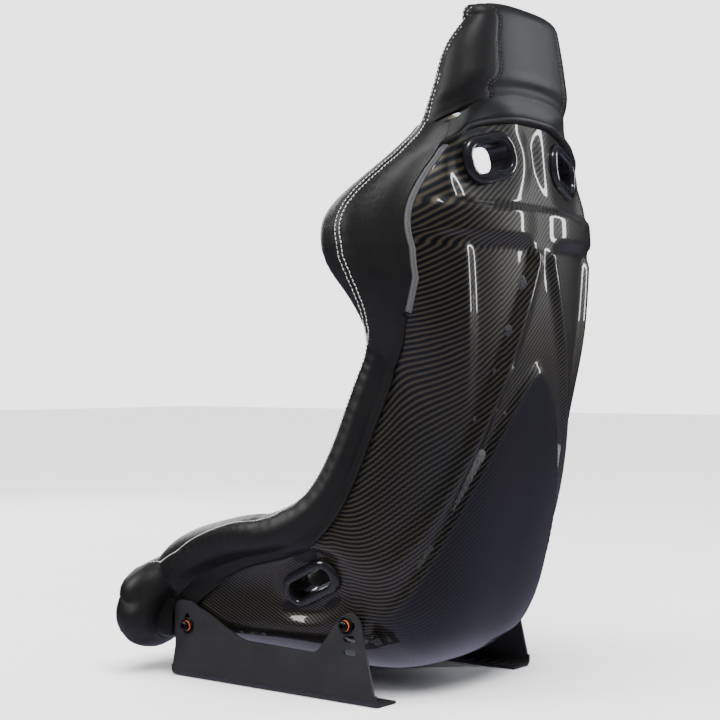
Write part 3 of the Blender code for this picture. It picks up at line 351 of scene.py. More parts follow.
# ---------------------------------------------------------------- mesh helpers
def add_mesh(name, points, faces, smooth=True):
    mesh = bpy.data.meshes.new(name)
    points = np.asarray(points, float) + np.array([0.0, FOOTPRINT_SHIFT, 0.0])
    mesh.from_pydata([tuple(p) for p in points], [], [tuple(int(i) for i in f) for f in faces])
    mesh.validate()
    bm = bmesh.new()
    bm.from_mesh(mesh)
    bmesh.ops.recalc_face_normals(bm, faces=bm.faces[:])
    if bm.calc_volume(signed=True) < 0.0:
        bmesh.ops.reverse_faces(bm, faces=bm.faces[:])
    bm.to_mesh(mesh)
    bm.free()
    obj = bpy.data.objects.new(name, mesh)
    bpy.context.scene.collection.objects.link(obj)
    if smooth:
        mesh.polygons.foreach_set("use_smooth", [True] * len(mesh.polygons))
    return obj


def sheet_faces(rows, cols, offset=0):
    i, j = np.meshgrid(np.arange(rows - 1), np.arange(cols - 1), indexing="ij")
    a = (offset + i * cols + j).ravel()
    return np.stack([a, a + 1, a + cols + 1, a + cols], axis=1).tolist()


def sheet_solid(name, outer, inner):
    """Closed body between two point grids of one size."""
    rows, cols = outer.shape[:2]
    half = rows * cols
    faces = sheet_faces(rows, cols) + sheet_faces(rows, cols, half)
    border = list(range(cols))
    border += [i * cols + cols - 1 for i in range(1, rows)]
    border += [(rows - 1) * cols + j for j in range(cols - 2, -1, -1)]
    border += [i * cols for i in range(rows - 2, 0, -1)]
    faces += [(a, b, b + half, a + half) for a, b in zip(border, border[1:] + border[:1])]
    return add_mesh(name, np.concatenate([outer.reshape(-1, 3), inner.reshape(-1, 3)]), faces)


def apply_modifiers(obj):
    graph = bpy.context.evaluated_depsgraph_get()
    mesh = bpy.data.meshes.new_from_object(obj.evaluated_get(graph))
    obj.modifiers.clear()
    obj.data = mesh


def cut(obj, cutters):
    for tool in cutters:
        modifier = obj.modifiers.new("cut", "BOOLEAN")
        modifier.operation = "DIFFERENCE"
        modifier.solver = "EXACT"
        modifier.object = tool
    apply_modifiers(obj)


def sharpen(obj, angle=40.0):
    """Smooth shading that keeps edges sharper than an angle."""
    bm = bmesh.new()
    bm.from_mesh(obj.data)
    for edge in bm.edges:
        edge.smooth = not (edge.is_manifold and edge.calc_face_angle(0.0) > math.radians(angle))
    for face in bm.faces:
        face.smooth = True
    bm.to_mesh(obj.data)
    bm.free()


def finish_piece(obj, look, nodes=(), body="seat"):
    obj.data.materials.clear()
    obj.data.materials.append(look)
    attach(obj, body)
    if nodes:
        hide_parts(*nodes)
    return obj


def rounded_loop(core, radius, arc_steps=10, straight_steps=4):
    """Outline at one distance from a flat rectangle core, counter-clockwise."""
    a, b = core
    corners = ((a, b), (-a, b), (-a, -b), (a, -b))
    outline = []
    for i, (x, y) in enumerate(corners):
        for step in range(arc_steps + 1):
            angle = math.radians(90.0 * i + 90.0 * step / arc_steps)
            outline.append((x + radius * math.cos(angle), y + radius * math.sin(angle)))
        nx, ny = corners[(i + 1) % 4]
        gap = math.dist((x, y), (nx, ny))
        angle = math.radians(90.0 * (i + 1))
        for step in range(1, straight_steps if gap > 0.002 else 0):
            share = step / straight_steps
            outline.append((x + (nx - x) * share + radius * math.cos(angle),
                            y + (ny - y) * share + radius * math.sin(angle)))
    kept = []
    for point in outline:
        if not kept or math.dist(point, kept[-1]) > 1e-6:
            kept.append(point)
    if math.dist(kept[0], kept[-1]) < 1e-6:
        kept.pop()
    return kept


def place(spec, u, w, h):
    centre, along, across, out = spec
    return centre + along * u + across * w + out * h


def swept_ring(name, spec, core, profile):
    """Closed ring: a smooth profile of (distance from core, height) carried round the core."""
    loops = [rounded_loop(core, radius) for radius, _ in profile]
    count = len(loops[0])
    points = [place(spec, u, w, height) for loop, (_, height) in zip(loops, profile) for u, w in loop]
    faces = []
    for i in range(len(profile)):
        n = (i + 1) % len(profile)
        for j in range(count):
            k = (j + 1) % count
            faces.append((i * count + j, i * count + k, n * count + k, n * count + j))
    return add_mesh(name, points, faces)


def prism(name, spec, outline, low, high):
    count = len(outline)
    points = [place(spec, u, w, low) for u, w in outline] + [place(spec, u, w, high) for u, w in outline]
    faces = [list(range(count))[::-1], list(range(count, 2 * count))]
    faces += [(j, (j + 1) % count, count + (j + 1) % count, count + j) for j in range(count)]
    return add_mesh(name, points, faces, smooth=False)


def lathe(name, side, centre, profile, count=48, hexes=()):
    """Profile of (radius, distance from the mid-plane) carried round a crosswise axis."""
    rings = []
    for k, (radius, height) in enumerate(profile):
        angle = 2.0 * math.pi * np.arange(count) / count
        r = np.full(count, radius)
        if k in hexes:
            r = radius / np.cos((angle + math.pi / 6) % (math.pi / 3) - math.pi / 6)
        ring = np.stack([np.full(count, side * height), centre[0] + r * np.cos(angle),
                         centre[1] + r * np.sin(angle)], axis=1)
        rings.append(ring)
    faces = []
    total = len(profile)
    closed = profile[0][0] > 1e-6
    for i in range(total if closed else total - 1):
        n = (i + 1) % total
        for j in range(count):
            k = (j + 1) % count
            faces.append((i * count + j, i * count + k, n * count + k, n * count + j))
    points = np.concatenate(rings)
    if not closed:
        faces = [f for f in faces]
        faces.append(list(range(count)))
        faces.append([(total - 1) * count + j for j in range(count)])
    return add_mesh(name, points, faces)


def stitches(name, path, normals, pitch, length, radius, look, lift=0.0002):
    """Row of short threads lying along a path."""
    path = np.asarray(path, float)
    along = np.concatenate([[0.0], np.cumsum(np.linalg.norm(np.diff(path, axis=0), axis=1))])
    starts = np.arange(0.4 * pitch, along[-1] - length, pitch)
    sides = 6
    share = np.array([0.0, 0.10, 0.30, 0.50, 0.70, 0.90, 1.0])
    girth = np.array([0.25, 0.72, 1.0, 1.0, 1.0, 0.72, 0.25])
    dip = np.array([-1.6, -0.5, 0.35, 0.6, 0.35, -0.5, -1.6])
    points, faces = [], []
    for start in starts:
        where = start + share * length
        centre = np.stack([np.interp(where, along, path[:, k]) for k in range(3)], axis=1)
        normal = unit(np.stack([np.interp(where, along, normals[:, k]) for k in range(3)], axis=1))
        tangent = unit(np.gradient(centre, axis=0))
        beside = unit(np.cross(tangent, normal))
        centre = centre + normal * (lift + radius * dip)[:, None]
        base = sum(len(p) for p in points)
        ring = []
        for k in range(sides):
            angle = 2.0 * math.pi * k / sides
            spoke = beside * math.cos(angle) + normal * math.sin(angle)
            ring.append(centre + spoke * (radius * girth)[:, None])
        ring = np.stack(ring, axis=1).reshape(-1, 3)
        points.append(ring)
        for i in range(len(share) - 1):
            for k in range(sides):
                n = (k + 1) % sides
                faces.append((base + i * sides + k, base + i * sides + n, base + (i + 1) * sides + n,
                              base + (i + 1) * sides + k))
        faces.append([base + k for k in range(sides)][::-1])
        faces.append([base + (len(share) - 1) * sides + k for k in range(sides)])
    obj = add_mesh(name, np.concatenate(points), faces)
    return finish_piece(obj, look)


# ---------------------------------------------------------------- materials
class Graph:
    """Short spelling for building a node tree."""

    def __init__(self, name, **values):
        self.material = bpy.data.materials.new(name)
        self.material.use_nodes = True
        self.tree = self.material.node_tree
        self.shader = self.tree.nodes["Principled BSDF"]
        for key, value in values.items():
            self.shader.inputs[key.replace("_", " ")].default_value = value

    def node(self, kind, inputs=(), **settings):
        node = self.tree.nodes.new(kind)
        for key, value in settings.items():
            setattr(node, key, value)
        for key, value in dict(inputs).items():
            self.plug(value, node.inputs[key])
        return node

    def plug(self, value, socket):
        if isinstance(value, bpy.types.NodeSocket):
            self.tree.links.new(value, socket)
        else:
            socket.default_value = value

    def math(self, operation, a, b=0.0, c=0.0):
        node = self.node("ShaderNodeMath", operation=operation)
        for socket, value in zip(node.inputs, (a, b, c)):
            self.plug(value, socket)
        return node.outputs[0]

    def mix(self, factor, a, b):
        node = self.node("ShaderNodeMix", data_type="RGBA")
        self.plug(factor, node.inputs["Factor"])
        self.plug(a, node.inputs["A"])
        self.plug(b, node.inputs["B"])
        return node.outputs["Result"]

    def blend(self, factor, a, b):
        node = self.node("ShaderNodeMix", data_type="FLOAT")
        self.plug(factor, node.inputs["Factor"])
        self.plug(a, node.inputs["A"])
        self.plug(b, node.inputs["B"])
        return node.outputs["Result"]

    def ramp(self, value, low, high, out_low=0.0, out_high=1.0):
        node = self.node("ShaderNodeMapRange", {"Value": value, "From Min": low, "From Max": high,
                                                "To Min": out_low, "To Max": out_high})
        return node.outputs["Result"]

    def where(self):
        return self.node("ShaderNodeTexCoord").outputs["Object"]

    def noise(self, vector, scale, detail=2.0, roughness=0.5):
        return self.node("ShaderNodeTexNoise", {"Vector": vector, "Scale": scale, "Detail": detail,
                                                "Roughness": roughness}).outputs["Fac"]

    def voronoi(self, vector, scale, feature="F1"):
        node = self.node("ShaderNodeTexVoronoi", {"Vector": vector, "Scale": scale}, feature=feature)
        return node.outputs["Distance"]

    def bump(self, height, strength, distance, onto=None):
        inputs = {"Height": height, "Strength": strength, "Distance": distance}
        if onto is not None:
            inputs["Normal"] = onto
        return self.node("ShaderNodeBump", inputs).outputs["Normal"]

    def set(self, key, value):
        self.plug(value, self.shader.inputs[key])


def carbon_look():
    """Clear-coated 2 x 2 twill: each tow passes over two and under two, stepping one tow each row."""
    g = Graph("carbon_twill", Coat_Weight=1.0, Coat_Roughness=0.035, Coat_IOR=1.42, Metallic=0.72)
    uv = g.node("ShaderNodeUVMap", uv_map="weave").outputs["UV"]
    parts = g.node("ShaderNodeSeparateXYZ", {0: uv})
    tow = 0.0020
    drift = g.math("MULTIPLY", g.math("SUBTRACT", g.noise(uv, 9.0, 1.0), 0.5), 1.3)
    u = g.math("ADD", g.math("DIVIDE", parts.outputs["X"], tow), drift)
    v = g.math("ADD", g.math("DIVIDE", parts.outputs["Y"], tow), drift)
    fu, fv = g.math("FRACT", u), g.math("FRACT", v)
    step = g.math("FLOORED_MODULO", g.math("ADD", g.math("FLOOR", u), g.math("FLOOR", v)), 4.0)
    warp = g.math("LESS_THAN", step, 1.5)
    along_warp = g.math("DIVIDE", g.math("ADD", step, fv), 2.0)
    along_weft = g.math("DIVIDE", g.math("ADD", g.math("SUBTRACT", step, 2.0), fu), 2.0)
    crown_warp = g.math("MULTIPLY", g.math("SINE", g.math("MULTIPLY", along_warp, math.pi)),
                        g.math("SINE", g.math("MULTIPLY", fu, math.pi)))
    crown_weft = g.math("MULTIPLY", g.math("SINE", g.math("MULTIPLY", along_weft, math.pi)),
                        g.math("SINE", g.math("MULTIPLY", fv, math.pi)))
    crown = g.math("POWER", g.math("MAXIMUM", g.blend(warp, crown_weft, crown_warp), 0.0), 0.5)
    fibre_v = g.node("ShaderNodeMapping", {"Vector": uv, "Scale": (5200.0, 260.0, 1.0)}).outputs[0]
    fibre_u = g.node("ShaderNodeMapping", {"Vector": uv, "Scale": (260.0, 5200.0, 1.0)}).outputs[0]
    fibre = g.blend(warp, g.noise(fibre_u, 1.0, 1.0), g.noise(fibre_v, 1.0, 1.0))
    batch = g.noise(g.where(), 5.0, 2.0)
    # Painted sheen: the tows are all black, but the warp tows are coloured tan where light would glint along
    # them, and the weft gets a near-black copy of the same material.
    light = g.mix(batch, (0.120, 0.094, 0.056, 1.0), (0.055, 0.050, 0.038, 1.0))
    dark = g.mix(batch, (0.004, 0.006, 0.009, 1.0), (0.002, 0.005, 0.010, 1.0))
    warp_sheen_tint = g.mix(warp, dark, light)
    # Painted shade: the colour darkens towards each tow's edges, where it dips under its neighbours; the
    # fibre streaks vary it along the tow.
    shade = g.math("MULTIPLY", g.ramp(crown, 0.15, 0.95, 0.18, 1.0), g.ramp(fibre, 0.25, 0.75, 0.70, 1.15))
    # Painted shade: on the back panel below the arch the weave colour is darkened by up to 80 per cent.
    arch_shade = g.node("ShaderNodeAttribute", attribute_name="arch_shade").outputs["Fac"]
    shade = g.math("MULTIPLY", shade, g.math("SUBTRACT", 1.0, g.math("MULTIPLY", arch_shade, 0.80)))
    g.set("Base Color", g.mix(shade, (0.003, 0.004, 0.007, 1.0), warp_sheen_tint))
    g.set("Roughness", g.ramp(fibre, 0.2, 0.8, 0.34, 0.48))
    g.set("Normal", g.bump(crown, 0.55, 0.00016))
    peel = g.noise(g.where(), 22.0, 2.0, 0.45)
    g.set("Coat Normal", g.bump(peel, 0.05, 0.0012))
    return g.material


def leather_look(name, tone, roughness):
    g = Graph(name, Specular_IOR_Level=0.30)
    place_at = g.where()
    cells = g.voronoi(place_at, 950.0, "F1")
    edges = g.voronoi(place_at, 620.0, "DISTANCE_TO_EDGE")
    folds = g.noise(place_at, 120.0, 4.0, 0.6)
    pores = g.math("ADD", g.math("MULTIPLY", g.ramp(edges, 0.0, 0.16), 0.6), g.math("MULTIPLY", cells, -0.4))
    height = g.math("ADD", pores, g.math("MULTIPLY", folds, 0.5))
    broad = g.noise(place_at, 14.0, 3.0)
    g.set("Base Color", g.mix(broad, (tone * 0.75, tone * 0.76, tone * 0.80, 1.0),
                              (tone * 1.30, tone * 1.29, tone * 1.28, 1.0)))
    worn = g.math("ADD", g.math("MULTIPLY", broad, 0.10), g.math("MULTIPLY", g.ramp(edges, 0.0, 0.15), -0.05))
    g.set("Roughness", g.math("ADD", worn, roughness))
    g.set("Normal", g.bump(height, 0.32, 0.00035))
    return g.material


def knit_look():
    g = Graph("insert_knit", Sheen_Weight=0.35, Sheen_Roughness=0.45)
    place_at = g.where()
    cells = g.voronoi(place_at, 330.0, "F1")
    fluff = g.noise(place_at, 900.0, 3.0)
    # Painted shade: the knit is coloured darker in the gaps between its loops and lighter at the loop
    # centres.
    gap_shade = g.ramp(cells, 0.1, 0.7)
    g.set("Base Color", g.mix(gap_shade, (0.018, 0.018, 0.020, 1.0), (0.004, 0.004, 0.005, 1.0)))
    g.set("Roughness", g.ramp(fluff, 0.3, 0.7, 0.78, 0.95))
    g.set("Normal", g.bump(g.math("ADD", g.math("MULTIPLY", cells, -1.0), g.math("MULTIPLY", fluff, 0.3)),
                           0.8, 0.0009))
    return g.material


def trim_look():
    g = Graph("edge_tape")
    place_at = g.where()
    rib = g.node("ShaderNodeTexWave", {"Vector": place_at, "Scale": 260.0, "Distortion": 0.6},
                 wave_type="BANDS", bands_direction="Z").outputs["Fac"]
    # Painted highlight and painted shade: the tape is coloured lighter on the rib crests and darker in the
    # furrows between them.
    g.set("Base Color", g.mix(rib, (0.022, 0.022, 0.024, 1.0), (0.085, 0.085, 0.088, 1.0)))
    g.set("Roughness", g.ramp(rib, 0.0, 1.0, 0.62, 0.50))
    g.set("Normal", g.bump(rib, 0.5, 0.0004))
    return g.material


def thread_look(name, colour):
    g = Graph(name, Sheen_Weight=0.2)
    twist = g.noise(g.where(), 2400.0, 2.0)
    dark = tuple(0.72 * c for c in colour)
    g.set("Base Color", g.mix(twist, (*dark, 1.0), (*colour, 1.0)))
    g.set("Roughness", g.ramp(twist, 0.3, 0.7, 0.60, 0.78))
    g.set("Normal", g.bump(twist, 0.5, 0.0002))
    return g.material


def plastic_look():
    g = Graph("bezel_gloss", Coat_Weight=0.4, Coat_Roughness=0.05)
    place_at = g.where()
    swirl = g.noise(place_at, 60.0, 5.0, 0.7)
    g.set("Base Color", g.mix(swirl, (0.004, 0.004, 0.005, 1.0), (0.009, 0.009, 0.010, 1.0)))
    g.set("Roughness", g.ramp(swirl, 0.35, 0.75, 0.13, 0.26))
    g.set("Normal", g.bump(g.noise(place_at, 700.0, 2.0), 0.05, 0.0002))
    return g.material


def powder_look():
    g = Graph("powder_coat", Metallic=0.0)
    place_at = g.where()
    orange = g.noise(place_at, 1100.0, 3.0, 0.55)
    broad = g.noise(place_at, 20.0, 3.0)
    g.set("Base Color", g.mix(broad, (0.008, 0.008, 0.009, 1.0), (0.016, 0.016, 0.017, 1.0)))
    g.set("Roughness", g.math("ADD", g.math("MULTIPLY", broad, 0.16), 0.40))
    g.set("Normal", g.bump(orange, 0.35, 0.00030))
    return g.material


def metal_look(name, colour, roughness, metallic=1.0):
    g = Graph(name, Metallic=metallic)
    place_at = g.where()
    smear = g.noise(place_at, 90.0, 4.0, 0.65)
    fine = g.noise(place_at, 1600.0, 2.0)
    dark = tuple(0.65 * c for c in colour)
    g.set("Base Color", g.mix(smear, (*dark, 1.0), (*colour, 1.0)))
    g.set("Roughness", g.math("ADD", g.math("MULTIPLY", smear, 0.20), roughness - 0.10))
    g.set("Normal", g.bump(fine, 0.15, 0.0001))
    return g.material


def floor_look():
    g = Graph("studio_floor", Roughness=0.75)
    speck = g.noise(g.where(), 3.0, 3.0)
    g.set("Base Color", g.mix(speck, (0.86, 0.86, 0.865, 1.0), (0.89, 0.89, 0.895, 1.0)))
    return g.material


CARBON = carbon_look()
LEATHER = leather_look("bolster_leather", 0.0055, 0.34)
BACK_LEATHER = leather_look("headrest_leather", 0.0055, 0.42)
KNIT = knit_look()
TAPE = trim_look()
PALE_THREAD = thread_look("pale_thread", (0.62, 0.60, 0.55))
DARK_THREAD = thread_look("dark_thread", (0.035, 0.035, 0.037))
GLOSS = plastic_look()
POWDER = powder_look()
ZINC = metal_look("bright_zinc", (0.50, 0.51, 0.52), 0.34)
BLACK_STEEL = metal_look("black_oxide", (0.060, 0.060, 0.063), 0.36)
RED_WASHER = metal_look("red_washer_paint", (0.62, 0.115, 0.030), 0.42, metallic=0.15)
SPACER = metal_look("turned_aluminium", (0.55, 0.55, 0.56), 0.36)


# ---------------------------------------------------------------- harness tunnels
def tunnel_tools(spec_side, spec, face, name):
    hole = prism(f"{name}_tool", spec_side, rounded_loop(spec["core"], spec["radius"] + SLEEVE_WALL + GAP),
                 -0.120, 0.040)
    seat = prism(f"{name}_seat_tool", spec_side,
                 rounded_loop(spec["core"], spec["radius"] + 0.95 * spec["flange"] + GAP),
                 -0.125, -face + GAP)
    return hole, seat


def drop(objects):
    for obj in objects:
        bpy.data.objects.remove(obj)


TUNNELS = {}
for side_name, side in (("left", 1.0), ("right", -1.0)):
    TUNNELS[f"shoulder_{side_name}"] = tunnel_tools(mirrored(SHOULDER, side), SHOULDER,
                                                    SHOULDER_DEPTH - 0.0045, f"shoulder_{side_name}")
    TUNNELS[f"lap_{side_name}"] = tunnel_tools(mirrored(LAP, side), LAP, LAP_DEPTH - 0.0045,
                                               f"lap_{side_name}")
TUNNELS["crotch"] = tunnel_tools(mirrored(CROTCH, 1.0), CROTCH, CROTCH_DEPTH - 0.0045, "crotch")


# ---------------------------------------------------------------- shell
def build_shell():
    rows, half = 330, 92
    values = np.linspace(0.0, 1.0, rows)
    t = np.linspace(-1.0, 1.0, 2 * half + 1)
    outer, inner, arch_shade = [], [], []
    for v in values:
        points, normal, _ = shell_row(t, v)
        outer.append(points)
        inner.append(points - normal * SHELL_THICKNESS)
        # Mask of the back-facing panel below the arch, where the carbon colour is darkened as painted shade.
        inside = ease((arch_top(points[:, 0]) - points[:, 2]) / 0.030) * ease((normal[:, 1] - 0.3) / 0.3)
        arch_shade.append(inside)
    outer = np.array(outer)
    obj = sheet_solid("carbon_shell", outer, np.array(inner))
    mesh = obj.data
    sideways = np.pad(np.cumsum(np.linalg.norm(np.diff(outer, axis=1), axis=2), axis=1), ((0, 0), (1, 0)))
    lengthways = np.pad(np.cumsum(np.linalg.norm(np.diff(outer, axis=0), axis=2), axis=0), ((1, 0), (0, 0)))
    sideways -= sideways[:, half:half + 1]
    lengthways -= lengthways[rows * 3 // 5]
    uv = np.concatenate([np.stack([sideways, lengthways], axis=2).reshape(-1, 2)] * 2)
    arch_shade = np.concatenate([np.array(arch_shade).ravel()] * 2)
    layer = mesh.uv_layers.new(name="weave")
    corner = np.zeros(len(mesh.loops), int)
    mesh.loops.foreach_get("vertex_index", corner)
    layer.data.foreach_set("uv", uv[corner].ravel())
    attribute = mesh.attributes.new("arch_shade", "FLOAT", "POINT")
    attribute.data.foreach_set("value", arch_shade)
    tools = [TUNNELS[key][0] for key in TUNNELS]
    for side in (1.0, -1.0):
        for y, z in (FRONT_BOLT, REAR_BOLT):
            turns = np.linspace(0.0, 2.0 * math.pi, 25)[:-1]
            outline = [(INSERT_HOLE * math.cos(a), INSERT_HOLE * math.sin(a)) for a in turns]
            tools.append(prism("bolt_tool", x_frame(side, y, z), outline, 0.150, 0.200))
    cut(obj, tools)
    drop(tools[len(TUNNELS):])
    sharpen(obj, 50.0)
    return finish_piece(obj, CARBON, ["shell"])


# ---------------------------------------------------------------- padding
SEAM_FACING = np.array([0.789, 0.614, 0.0])
BOLSTER_COLUMNS = 60
SWELL_COLUMNS = 13.0
SWELL_AT = (KNOTS[0], KNOTS[1], KNOTS[3], KNOTS[5], KNOTS[8],
            KNOTS[12], KNOTS[14], KNOTS[15], KNOTS[16], HEAD)
SWELL = (0.012, 0.017, 0.018, 0.013, 0.008, 0.010, 0.013, 0.010, 0.004, 0.0)
HEADREST_SWELL = 0.0065
HEM_TOP = 0.040
HEM_DROP_SIDE = 0.046
SIDE_HEM_AT = (KNOTS[1], KNOTS[2], KNOTS[3], KNOTS[4], KNOTS[6], KNOTS[9], KNOTS[11], KNOTS[12], KNOTS[14])
SIDE_HEM_WIDTH = (0.030, 0.038, 0.040, 0.034, 0.018, 0.018, 0.018, 0.014, 0.002)


def bolster_row(v):
    """Coarse inner and outer profiles of the left side bolster at one section."""
    points, normal, _, out = section(v)
    start, hem = MIDDLE + EDGE, MIDDLE + HEM
    rim, up = points[-1], normal[-1]
    radius = roll_radius(v)
    inside = points[start:-1].copy()
    inside[0] += unit(points[start + 1] - points[start]) * CLEAR
    outside = points[-2:hem - 1:-1].copy()
    count = len(inside)
    leg = FRONT_LEG * max(0.0, 1.0 - v / KNOTS[1])
    spine = base_row(np.array([0.0]), 0.012)[0] - base_row(np.array([0.0]), 0.0)[0]
    inside += unit(spine) * np.linspace(leg, 0.0, count)[:, None]
    outside += unit(spine) * np.linspace(0.0, leg, len(outside))[:, None]
    length = np.linalg.norm(points[start] - rim)
    face = np.interp(v, (KNOTS[0], KNOTS[3], KNOTS[6], KNOTS[11], KNOTS[15], KNOTS[17]),
                     (0.020, 0.028, 0.036, 0.040, 0.038, 0.026))
    face = min(face, 0.30 * length + 0.006)
    edge_height = 0.72 * min(face, 0.4 * length + 0.004)
    share = np.linspace(0.0, 1.0, count + 1)[:-1]
    height = edge_height + (face - edge_height) * np.sin(math.pi * np.clip(share * 0.75, 0.0, 0.5))
    clear = CLEAR + 0.0010 * ease((KNOTS[6] - v) / (KNOTS[6] - KNOTS[4]))
    row_in = list(inside - normal[start:-1] * (SHELL_THICKNESS + clear))
    row_out = list(inside - normal[start:-1] * (SHELL_THICKNESS + clear + height)[:, None])
    round_rim = (((clear, -SHELL_THICKNESS - clear), (0.35 * radius, -SHELL_THICKNESS - 1.15 * radius)),
                 ((clear, -0.65 * SHELL_THICKNESS), (0.90 * radius, -SHELL_THICKNESS - 0.42 * radius)),
                 ((clear, -0.35 * SHELL_THICKNESS), (0.92 * radius, 0.25 * radius)),
                 ((clear, clear), (0.35 * radius, 0.55 * radius)))
    for (a, b), (c, d) in round_rim:
        row_in.append(rim + out * a + up * b)
        row_out.append(rim + out * c + up * d)
    up_outside = normal[-2:hem - 1:-1]
    cover = np.linspace(0.62, 0.34, len(outside)) * radius
    cover[-1] = 0.0045
    row_in += list(outside + up_outside * clear)
    row_out += list(outside + up_outside * (clear + cover)[:, None])
    return np.array(row_in), relax_row(np.array(row_out), 3, -3)


def bolster_grids():
    values = np.linspace(0.0, HEAD, 320)
    inner, outer = [], []
    for v in values:
        low, high = bolster_row(v)
        if v >= HEAD - 1e-9:
            forward = section(v)[2][-1]
            low = low - forward * END_GAP
            high = high - forward * END_GAP
        inner.append(resample(low, BOLSTER_COLUMNS))
        outer.append(resample(high, BOLSTER_COLUMNS))
    inner, outer = np.array(inner), np.array(outer)
    inner[0, :, 0] = outer[0, :, 0] = 0.0005
    return values, inner, outer


def grid_normals(grid):
    down = np.gradient(grid, axis=0)
    over = np.gradient(grid, axis=1)
    return unit(np.cross(down, over))


def seam_columns(normals, turned, first, last):
    """Fractional column in each row where the skin turns this far away from the outer rear quarter."""
    facing = normals @ SEAM_FACING
    found = []
    for row in facing:
        part = row[first:last]
        limit = min(turned, 0.85 * part.max())
        peak = int(np.argmax(part))
        under = np.nonzero(part[:peak + 1] < limit)[0]
        found.append(float(first + (under[-1] if len(under) else 0)))
    padded = np.concatenate([np.full(12, found[0]), found, np.full(12, found[-1])])
    return np.convolve(padded, np.ones(25) / 25.0, mode="valid")


def sample_columns(grid, where):
    i = np.clip(where.astype(int), 0, grid.shape[1] - 2)
    share = (where - i)[:, None]
    rows = np.arange(len(grid))
    return grid[rows, i] * (1.0 - share) + grid[rows, i + 1] * share


def groove(grid, normals, where, depth, width):
    """Press a sewn line into an open skin along its columns."""
    centre = sample_columns(grid, where)
    gap = np.linalg.norm(grid - centre[:, None, :], axis=2)
    press = depth * np.exp(-(gap / width) ** 2)
    return grid - normals * press[:, :, None]


def pucker(grid, normals, where, depth, pitch, reach):
    """Gather an open skin into shallow folds that die away from its sewn line."""
    line = sample_columns(grid, where)
    along = np.concatenate([[0.0], np.cumsum(np.linalg.norm(np.diff(line, axis=0), axis=1))])
    gap = np.linalg.norm(grid - line[:, None, :], axis=2)
    phase = 2.0 * math.pi * along / pitch + 1.4 * np.sin(2.0 * math.pi * along / (4.7 * pitch))
    fold = 0.5 + 0.5 * np.sin(phase)[:, None]
    strength = (gap / (0.35 * reach)) * np.exp(1.0 - gap / (0.35 * reach)) * ease((grid.shape[0] - 8
                - np.arange(grid.shape[0])) / 10.0)[:, None]
    slow = np.sin(2.0 * math.pi * along / 0.21)[:, None]
    slow = slow * np.sin(math.pi * np.linspace(0.0, 1.0, grid.shape[1]))
    return grid - normals * (depth * fold * strength + 0.5 * depth * slow)[:, :, None]


def flip(points):
    return np.asarray(points) * np.array([-1.0, 1.0, 1.0])


def swell(values, grid, normals, seam):
    """Stuff the roll fuller round its seam line."""
    amount = np.interp(values, SWELL_AT, SWELL)
    column = np.arange(grid.shape[1])[None, :]
    spread = np.exp(-((column - seam[:, None] + 3.0) / SWELL_COLUMNS) ** 2)
    spread *= ease(column / 10.0) * ease((grid.shape[1] - 1 - column) / 10.0)
    fuller = grid + normals * (amount[:, None] * spread)[:, :, None]
    inmost = np.minimum(grid[:, :, 0], 0.0005)
    fuller[:, :, 0] = np.maximum(fuller[:, :, 0], inmost)
    fuller[0, :, 0] = 0.0005
    return fuller


def build_bolsters():
    values, inner, outer = bolster_grids()
    normals = grid_normals(outer)
    outward = outer - inner
    if np.sum(normals * outward) < 0.0:
        normals = -normals
    seam = seam_columns(normals, 0.72, 10, BOLSTER_COLUMNS - 8)
    outer = swell(values, outer, normals, seam)
    normals = grid_normals(outer) * np.sign(np.sum(normals * outward))
    outer = pucker(outer, normals, seam, 0.0007, 0.017, 0.016)
    outer = groove(outer, normals, seam, 0.0018, 0.0024)
    waist = np.searchsorted(values, KNOTS[12])
    line = sample_columns(outer, seam)
    line_normals = unit(sample_columns(normals, seam))
    beside = unit(np.cross(np.gradient(line, axis=0), line_normals))
    for side_name, turn in (("left", np.asarray), ("right", flip)):
        obj = sheet_solid(f"bolster_{side_name}", turn(outer), turn(inner))
        hole, seat = TUNNELS[f"lap_{side_name}"]
        hole_2, seat_2 = TUNNELS[f"shoulder_{side_name}"]
        cut(obj, [seat, hole, seat_2, hole_2])
        sharpen(obj, 50.0)
        finish_piece(obj, LEATHER, [f"side_bolster_{side_name}"])
        rows = slice(18, None)
        upper = slice(waist, None)
        for tag, rows_used, offset in (("a", rows, 0.0034), ("b", upper, -0.0034)):
            path = (line + beside * offset)[rows_used]
            stitches(f"stitch_front_{tag}_{side_name}", turn(path), turn(line_normals[rows_used]), 0.0058,
                     0.0042, 0.00062, PALE_THREAD)
    return values, outer, normals


def pad_row(v, thickness, edge_thickness, ends):
    points, normal, _, _ = section(v)
    cols = slice(MIDDLE - EDGE, MIDDLE + EDGE + 1)
    sideways = unit(points[MIDDLE + EDGE] - points[MIDDLE + EDGE - 1])
    points, normal = points[cols].copy(), normal[cols]
    mirror = np.array([-1.0, 1.0, 1.0])
    points[-1] -= sideways * CLEAR
    points[0] -= sideways * mirror * CLEAR
    u = np.linspace(-1.0, 1.0, len(points))
    crown = np.sqrt(np.clip(1.0 - np.abs(u) ** 2.6, 0.0, 1.0))
    height = (edge_thickness + (thickness - edge_thickness) * crown) * ends
    under = points - normal * (SHELL_THICKNESS + CLEAR)
    upper = points - normal * (SHELL_THICKNESS + CLEAR + height)[:, None]
    upper[-1] -= sideways * SEAM_INSET
    upper[0] -= sideways * mirror * SEAM_INSET
    return under, relax_row(upper, 2, -1)


